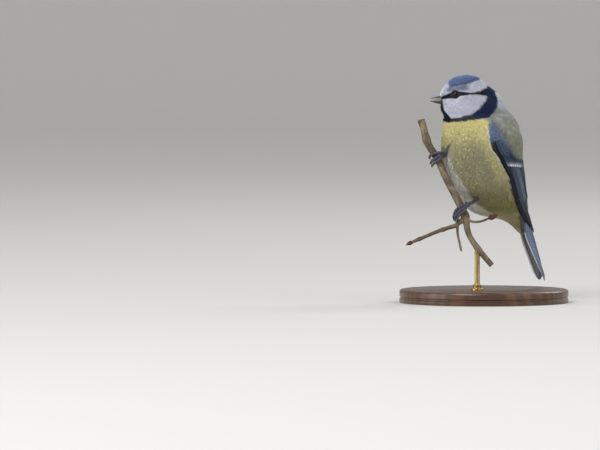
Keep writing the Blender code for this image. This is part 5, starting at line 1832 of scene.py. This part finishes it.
def horn_material(name, dark, light, scale):
    """Horn: dark with lighter streaks, and a soft gloss."""
    material, nodes, shader = new_material(name, 0.38, 0.45, coat_weight=0.15, coat_roughness=0.3)
    height = nodes.mottle(scale)["Height"]
    nodes.link(nodes.mix(nodes.ramp(height, 0.42, 0.72), dark, light), shader.inputs["Base Color"])
    bump(nodes, shader, height, 0.00008, 0.5)
    return material


def bill_material():
    """Horn that follows the stored colours, with faint streaks and a soft gloss."""
    material, nodes, shader = new_material("Bill horn", 0.4, 0.4)
    height = nodes.mottle(700.0)["Height"]
    share = nodes.ramp(height, 0.4, 0.7, 0.0, 0.35)
    nodes.link(nodes.mix(share, nodes.tint(), srgb(40, 40, 44)), shader.inputs["Base Color"])
    nodes.link(nodes.ramp(height, 0.3, 0.7, 0.34, 0.5), shader.inputs["Roughness"])
    bump(nodes, shader, height, 0.00006, 0.5)
    return material


def leg_material(colours):
    """Scaled slate skin, darker between the scutes."""
    material, nodes, shader = new_material("Leg skin", 0.42, 0.4)
    cells = nodes.add("TexVoronoi", {"Vector": nodes.place(), "Scale": 1900.0}, feature="DISTANCE_TO_EDGE")
    seam = nodes.ramp(cells.outputs["Distance"], 0.0, 0.09, 0.0, 1.0)
    share = nodes.ramp(nodes.mottle(500.0)["Height"], 0.35, 0.6)
    tone = nodes.mix(share, srgb(62, 62, 72), colours.leg)
    nodes.link(nodes.mix(seam, colours.leg_dark, tone), shader.inputs["Base Color"])
    bump(nodes, shader, seam, 0.00008, 0.7)
    return material


def bark_material(colours):
    """Olive and brown bark with raised pale specks and fine cracks along it."""
    material, nodes, shader = new_material("Bark", 0.82, 0.2)
    place = nodes.place()
    broad = nodes.noise(place, 120.0, 4.0, 0.6, 0.6)
    fine = nodes.noise(place, 1400.0, 3.0, 0.6)
    specks = nodes.add("TexVoronoi", {"Vector": place, "Scale": 700.0, "Randomness": 1.0})
    rough = nodes.math("ADD", specks.outputs["Distance"], nodes.math("MULTIPLY", fine, 0.25))
    speck = nodes.ramp(rough, 0.2, 0.3, 1.0, 0.0)
    ground = nodes.mix(nodes.ramp(broad, 0.38, 0.62), colours.bark_dark, colours.bark)
    ground = nodes.mix(nodes.ramp(fine, 0.35, 0.75, 0.0, 0.5), ground, srgb(50, 42, 34))
    speckled = nodes.mix(nodes.math("MULTIPLY", speck, 0.75), ground, colours.lenticel)
    nodes.link(speckled, shader.inputs["Base Color"])
    height = nodes.math("ADD", nodes.math("MULTIPLY", fine, 0.6), nodes.math("MULTIPLY", speck, 0.5))
    bump(nodes, shader, nodes.math("ADD", height, broad), 0.00035, 0.8)
    return material


def bud_material(colours):
    """Dull red-brown scales with a fine grain."""
    material, nodes, shader = new_material("Bud scales", 0.6, 0.3)
    place = nodes.place()
    broad = nodes.noise(place, 500.0, 3.0, 0.6)
    tone = nodes.mix(nodes.ramp(broad, 0.35, 0.65), colours.bud, srgb(94, 62, 46))
    nodes.link(tone, shader.inputs["Base Color"])
    bump(nodes, shader, nodes.noise(place, 3000.0, 2.0), 0.0001, 0.5)
    return material


def wood_material(colours):
    """Dark turned wood under a satin varnish, its grain running across the base."""
    material, nodes, shader = new_material("Turned wood", 0.36, 0.45, coat_weight=0.35, coat_roughness=0.25)
    place = nodes.place()
    stretched = nodes.add("Mapping", {"Vector": place, "Scale": (18.0, 160.0, 60.0)}).outputs[0]
    values = {"Vector": stretched, "Scale": 0.5, "Distortion": 7.0, "Detail": 3.0, "Detail Scale": 1.2}
    rings = nodes.add("TexWave", values, bands_direction="Y").outputs["Fac"]
    drawn_out = nodes.add("Mapping", {"Vector": place, "Scale": (120.0, 1800.0, 900.0)}).outputs[0]
    pores = nodes.noise(drawn_out, 1.0, 3.0)
    grain = nodes.mix(nodes.ramp(rings, 0.1, 1.0, 0.35, 1.0), colours.base_dark, colours.base)
    grain = nodes.mix(nodes.ramp(pores, 0.55, 0.75, 0.0, 0.55), grain, colours.base_dark)
    nodes.link(grain, shader.inputs["Base Color"])
    bump(nodes, shader, pores, 0.00005, 0.25)
    return material


def brass_material(colours):
    """Satin brass, a little uneven in colour and polish."""
    material, nodes, shader = new_material("Brass", 0.3, 0.5, metallic=1.0)
    height = nodes.mottle(300.0)["Height"]
    tone = nodes.mix(nodes.ramp(height, 0.3, 0.8), colours.metal, srgb(132, 108, 66))
    nodes.link(tone, shader.inputs["Base Color"])
    nodes.link(nodes.ramp(height, 0.3, 0.8, 0.26, 0.42), shader.inputs["Roughness"])
    return material


def shared(name, make, *values):
    """The material of that name, made the first time that it is asked for."""
    return bpy.data.materials.get(name) or make(*values)


# ------------------------------------------------------------ operators

# The lights, in metres and watts: name, place, size and power
LIGHTS = (
    ("key", (-0.9, -1.3, 1.5), 1.0, 19.0),
    ("fill", (1.3, -1.0, 0.7), 1.2, 6.5),
    ("side", (-1.5, -0.5, 0.1), 1.0, 10.0),
    ("glint", (-0.75, -1.7, 1.2), 0.4, 7.5),
    ("back", (1.3, 1.1, 1.2), 1.0, 12.0),
    ("overhead", (0, 1.0, 4.5), 6.0, 30.0),
)
LIGHTS_AIM = Vector((0, 0, 0.07))
WORLD_COLOUR = (0.86, 0.88, 0.92, 1)
WORLD_STRENGTH = 0.66


class Plumage:
    """A plain copy of the plumage's colours as arrays."""

    def __init__(self, group):
        for name in PlumageColours.__annotations__:
            setattr(self, name, np.array(getattr(group, name)))


class BLUE_TIT_OT_skin(bpy.types.Operator):
    """Make the skin under the coat"""

    bl_idname = "blue_tit.skin"
    bl_label = "Skin"

    def execute(self, context):
        skin = make_skin(context.scene.blue_tit_sizes, Plumage(context.scene.blue_tit_plumage))
        finish_piece(skin, shared("Coat", coat_material, "Coat"), "body_plumage", "head", "neck", "torso")
        return {"FINISHED"}


class BLUE_TIT_OT_coat(bpy.types.Operator):
    """Make the feathers of the head and body"""

    bl_idname = "blue_tit.coat"
    bl_label = "Coat"

    def execute(self, context):
        colours = Plumage(context.scene.blue_tit_plumage)
        coat = shared("Coat", coat_material, "Coat")
        make_coat(context.scene.blue_tit_sizes, colours, coat)
        for side, seed in ((1, 13), (-1, 14)):
            make_flank(side, colours, coat, np.random.default_rng(seed))
        return {"FINISHED"}


class BLUE_TIT_OT_wings(bpy.types.Operator):
    """Make both folded wings"""

    bl_idname = "blue_tit.wings"
    bl_label = "Wings"

    def execute(self, context):
        colours = Plumage(context.scene.blue_tit_plumage)
        vanes = shared("Vanes", vane_material, "Vanes")
        coat = shared("Coat", coat_material, "Coat")
        for side, seed in ((1, 21), (-1, 22)):
            make_wing(side, colours, vanes, coat, np.random.default_rng(seed))
        return {"FINISHED"}


class BLUE_TIT_OT_tail(bpy.types.Operator):
    """Make the tail's feathers"""

    bl_idname = "blue_tit.tail"
    bl_label = "Tail"

    def execute(self, context):
        colours = Plumage(context.scene.blue_tit_plumage)
        make_tail(colours, shared("Vanes", vane_material, "Vanes"), np.random.default_rng(31))
        return {"FINISHED"}


class BLUE_TIT_OT_eyes(bpy.types.Operator):
    """Make the eyes and their lids"""

    bl_idname = "blue_tit.eyes"
    bl_label = "Eyes"

    def execute(self, context):
        bare = context.scene.blue_tit_bare
        for side in (1, -1):
            finish_piece(make_eye(side, bare), shared("Eye", eye_material), "eye", "eye_" + side_name(side))
            lid = shared("Lid skin", horn_material, "Lid skin", srgb(10, 10, 14), srgb(24, 24, 31), 900.0)
            finish_piece(make_lid(side), lid, "leg_skin")
        return {"FINISHED"}


class BLUE_TIT_OT_bill(bpy.types.Operator):
    """Make both halves of the bill"""

    bl_idname = "blue_tit.bill"
    bl_label = "Bill"

    def execute(self, context):
        bare = context.scene.blue_tit_bare
        for node, way, height, width, bend in BILL_HALVES:
            half = make_bill_half(node + "_horn", way, height, width, bend, bare)
            finish_piece(half, shared("Bill horn", bill_material), "bill", node)
        return {"FINISHED"}


class BLUE_TIT_OT_legs(bpy.types.Operator):
    """Make the legs, feet and claws"""

    bl_idname = "blue_tit.legs"
    bl_label = "Legs and claws"

    def execute(self, context):
        bare = context.scene.blue_tit_bare
        skin = shared("Leg skin", leg_material, bare)
        horn = shared("Claw horn", horn_material, "Claw horn", tuple(bare.claw), srgb(86, 84, 88), 700.0)
        for side in (1, -1):
            make_leg(side, skin, horn)
        return {"FINISHED"}


class BLUE_TIT_OT_branch(bpy.types.Operator):
    """Make the length of branch with its twigs and buds"""

    bl_idname = "blue_tit.branch"
    bl_label = "Branch"

    def execute(self, context):
        colours = context.scene.blue_tit_perch
        branch, buds = make_branch(np.random.default_rng(41))
        finish_piece(branch, shared("Bark", bark_material, colours), "branch", "perch_branch")
        finish_piece(buds, shared("Bud scales", bud_material, colours), "branch", "perch_branch")
        return {"FINISHED"}


class BLUE_TIT_OT_stand(bpy.types.Operator):
    """Make the display stand"""

    bl_idname = "blue_tit.stand"
    bl_label = "Stand"

    def execute(self, context):
        colours = context.scene.blue_tit_perch
        make_stand(shared("Brass", brass_material, colours), shared("Turned wood", wood_material, colours))
        return {"FINISHED"}


class BLUE_TIT_OT_stage(bpy.types.Operator):
    """Make the floor, the lights and the camera"""

    bl_idname = "blue_tit.stage"
    bl_label = "Stage"

    def execute(self, context):
        settings = context.scene.blue_tit_stage
        turns = np.linspace(0, math.pi / 2, 16)
        bend = [(5 + 2.5 * math.sin(turn), 2.5 - 2.5 * math.cos(turn)) for turn in turns]
        profile = [(r / MM, z / MM) for r, z in ((0.0, 0.0), (1.0, 0.0), *bend, (7.5, 5.0))]
        floor = turned_piece("floor", profile, (0, 0), 96)
        floor.data.flip_normals()
        material, nodes, shader = new_material("Floor", 0.9, 0.1)
        reach = nodes.add("VectorMath", {0: nodes.place()}, operation="LENGTH").outputs["Value"]
        # Painted shade and light: the floor is painted darker round the middle, where the lamps fall
        # strongest, and paler out on the sweep, which they light less
        darker = tuple(value * 0.84 for value in settings.floor)
        tone = nodes.mix(nodes.ramp(reach, 0.5, 7.0), darker, settings.floor)
        nodes.link(tone, shader.inputs["Base Color"])
        floor.data.materials.append(material)
        world = bpy.data.worlds.new("Studio")
        world.use_nodes = True
        background = world.node_tree.nodes["Background"]
        background.inputs["Color"].default_value = WORLD_COLOUR
        background.inputs["Strength"].default_value = WORLD_STRENGTH
        context.scene.world = world
        for name, place, size, power in LIGHTS:
            light = bpy.data.lights.new(name, "AREA")
            light.energy = power
            light.size = size
            lamp = bpy.data.objects.new(name, light)
            lamp.location = place
            lamp.rotation_euler = (LIGHTS_AIM - Vector(place)).to_track_quat("-Z", "Y").to_euler()
            context.scene.collection.objects.link(lamp)
        camera = bpy.data.cameras.new("camera")
        camera.lens = settings.lens
        camera.sensor_width = 36.0
        camera.clip_start = 0.1
        camera.clip_end = 100.0
        holder = bpy.data.objects.new("camera", camera)
        context.scene.collection.objects.link(holder)
        aim = Vector((-settings.aim_x, 0, settings.aim_z))
        away = Vector((0, -math.cos(settings.elevation), math.sin(settings.elevation)))
        holder.location = aim + away * settings.distance
        holder.rotation_euler = (-away).to_track_quat("-Z", "Y").to_euler()
        context.scene.camera = holder
        context.scene.view_settings.view_transform = "Standard"
        return {"FINISHED"}


OPERATORS = (BLUE_TIT_OT_skin, BLUE_TIT_OT_coat, BLUE_TIT_OT_wings, BLUE_TIT_OT_tail, BLUE_TIT_OT_eyes,
             BLUE_TIT_OT_bill, BLUE_TIT_OT_legs, BLUE_TIT_OT_branch, BLUE_TIT_OT_stand, BLUE_TIT_OT_stage)
SETTINGS = {"blue_tit_plumage": PlumageColours, "blue_tit_bare": BareColours, "blue_tit_perch": PerchColours,
            "blue_tit_sizes": FeatherSizes, "blue_tit_stage": StageSettings}


class BLUE_TIT_PT_panel(bpy.types.Panel):
    """The model's pieces and settings"""

    bl_idname = "BLUE_TIT_PT_panel"
    bl_label = "Blue Tit"
    bl_space_type = "VIEW_3D"
    bl_region_type = "UI"
    bl_category = "Blue Tit"

    def draw(self, context):
        for operator in OPERATORS:
            self.layout.operator(operator.bl_idname)
        for name, group in SETTINGS.items():
            box = self.layout.box()
            for value in group.__annotations__:
                box.prop(getattr(context.scene, name), value)


def register():
    """Adds the settings, the operators and the panel."""
    for group in SETTINGS.values():
        bpy.utils.register_class(group)
    for name, group in SETTINGS.items():
        setattr(bpy.types.Scene, name, bpy.props.PointerProperty(type=group))
    for operator in OPERATORS:
        bpy.utils.register_class(operator)
    bpy.utils.register_class(BLUE_TIT_PT_panel)


def unregister():
    """Takes the settings, the operators and the panel away again."""
    bpy.utils.unregister_class(BLUE_TIT_PT_panel)
    for operator in reversed(OPERATORS):
        bpy.utils.unregister_class(operator)
    for name, group in reversed(SETTINGS.items()):
        delattr(bpy.types.Scene, name)
        bpy.utils.unregister_class(group)


def main():
    """Makes the whole model and its stage."""
    register()
    for piece in ("skin", "coat", "wings", "tail", "eyes", "bill", "legs", "branch", "stand", "stage"):
        getattr(bpy.ops.blue_tit, piece)()


if __name__ == "__main__":
    main()
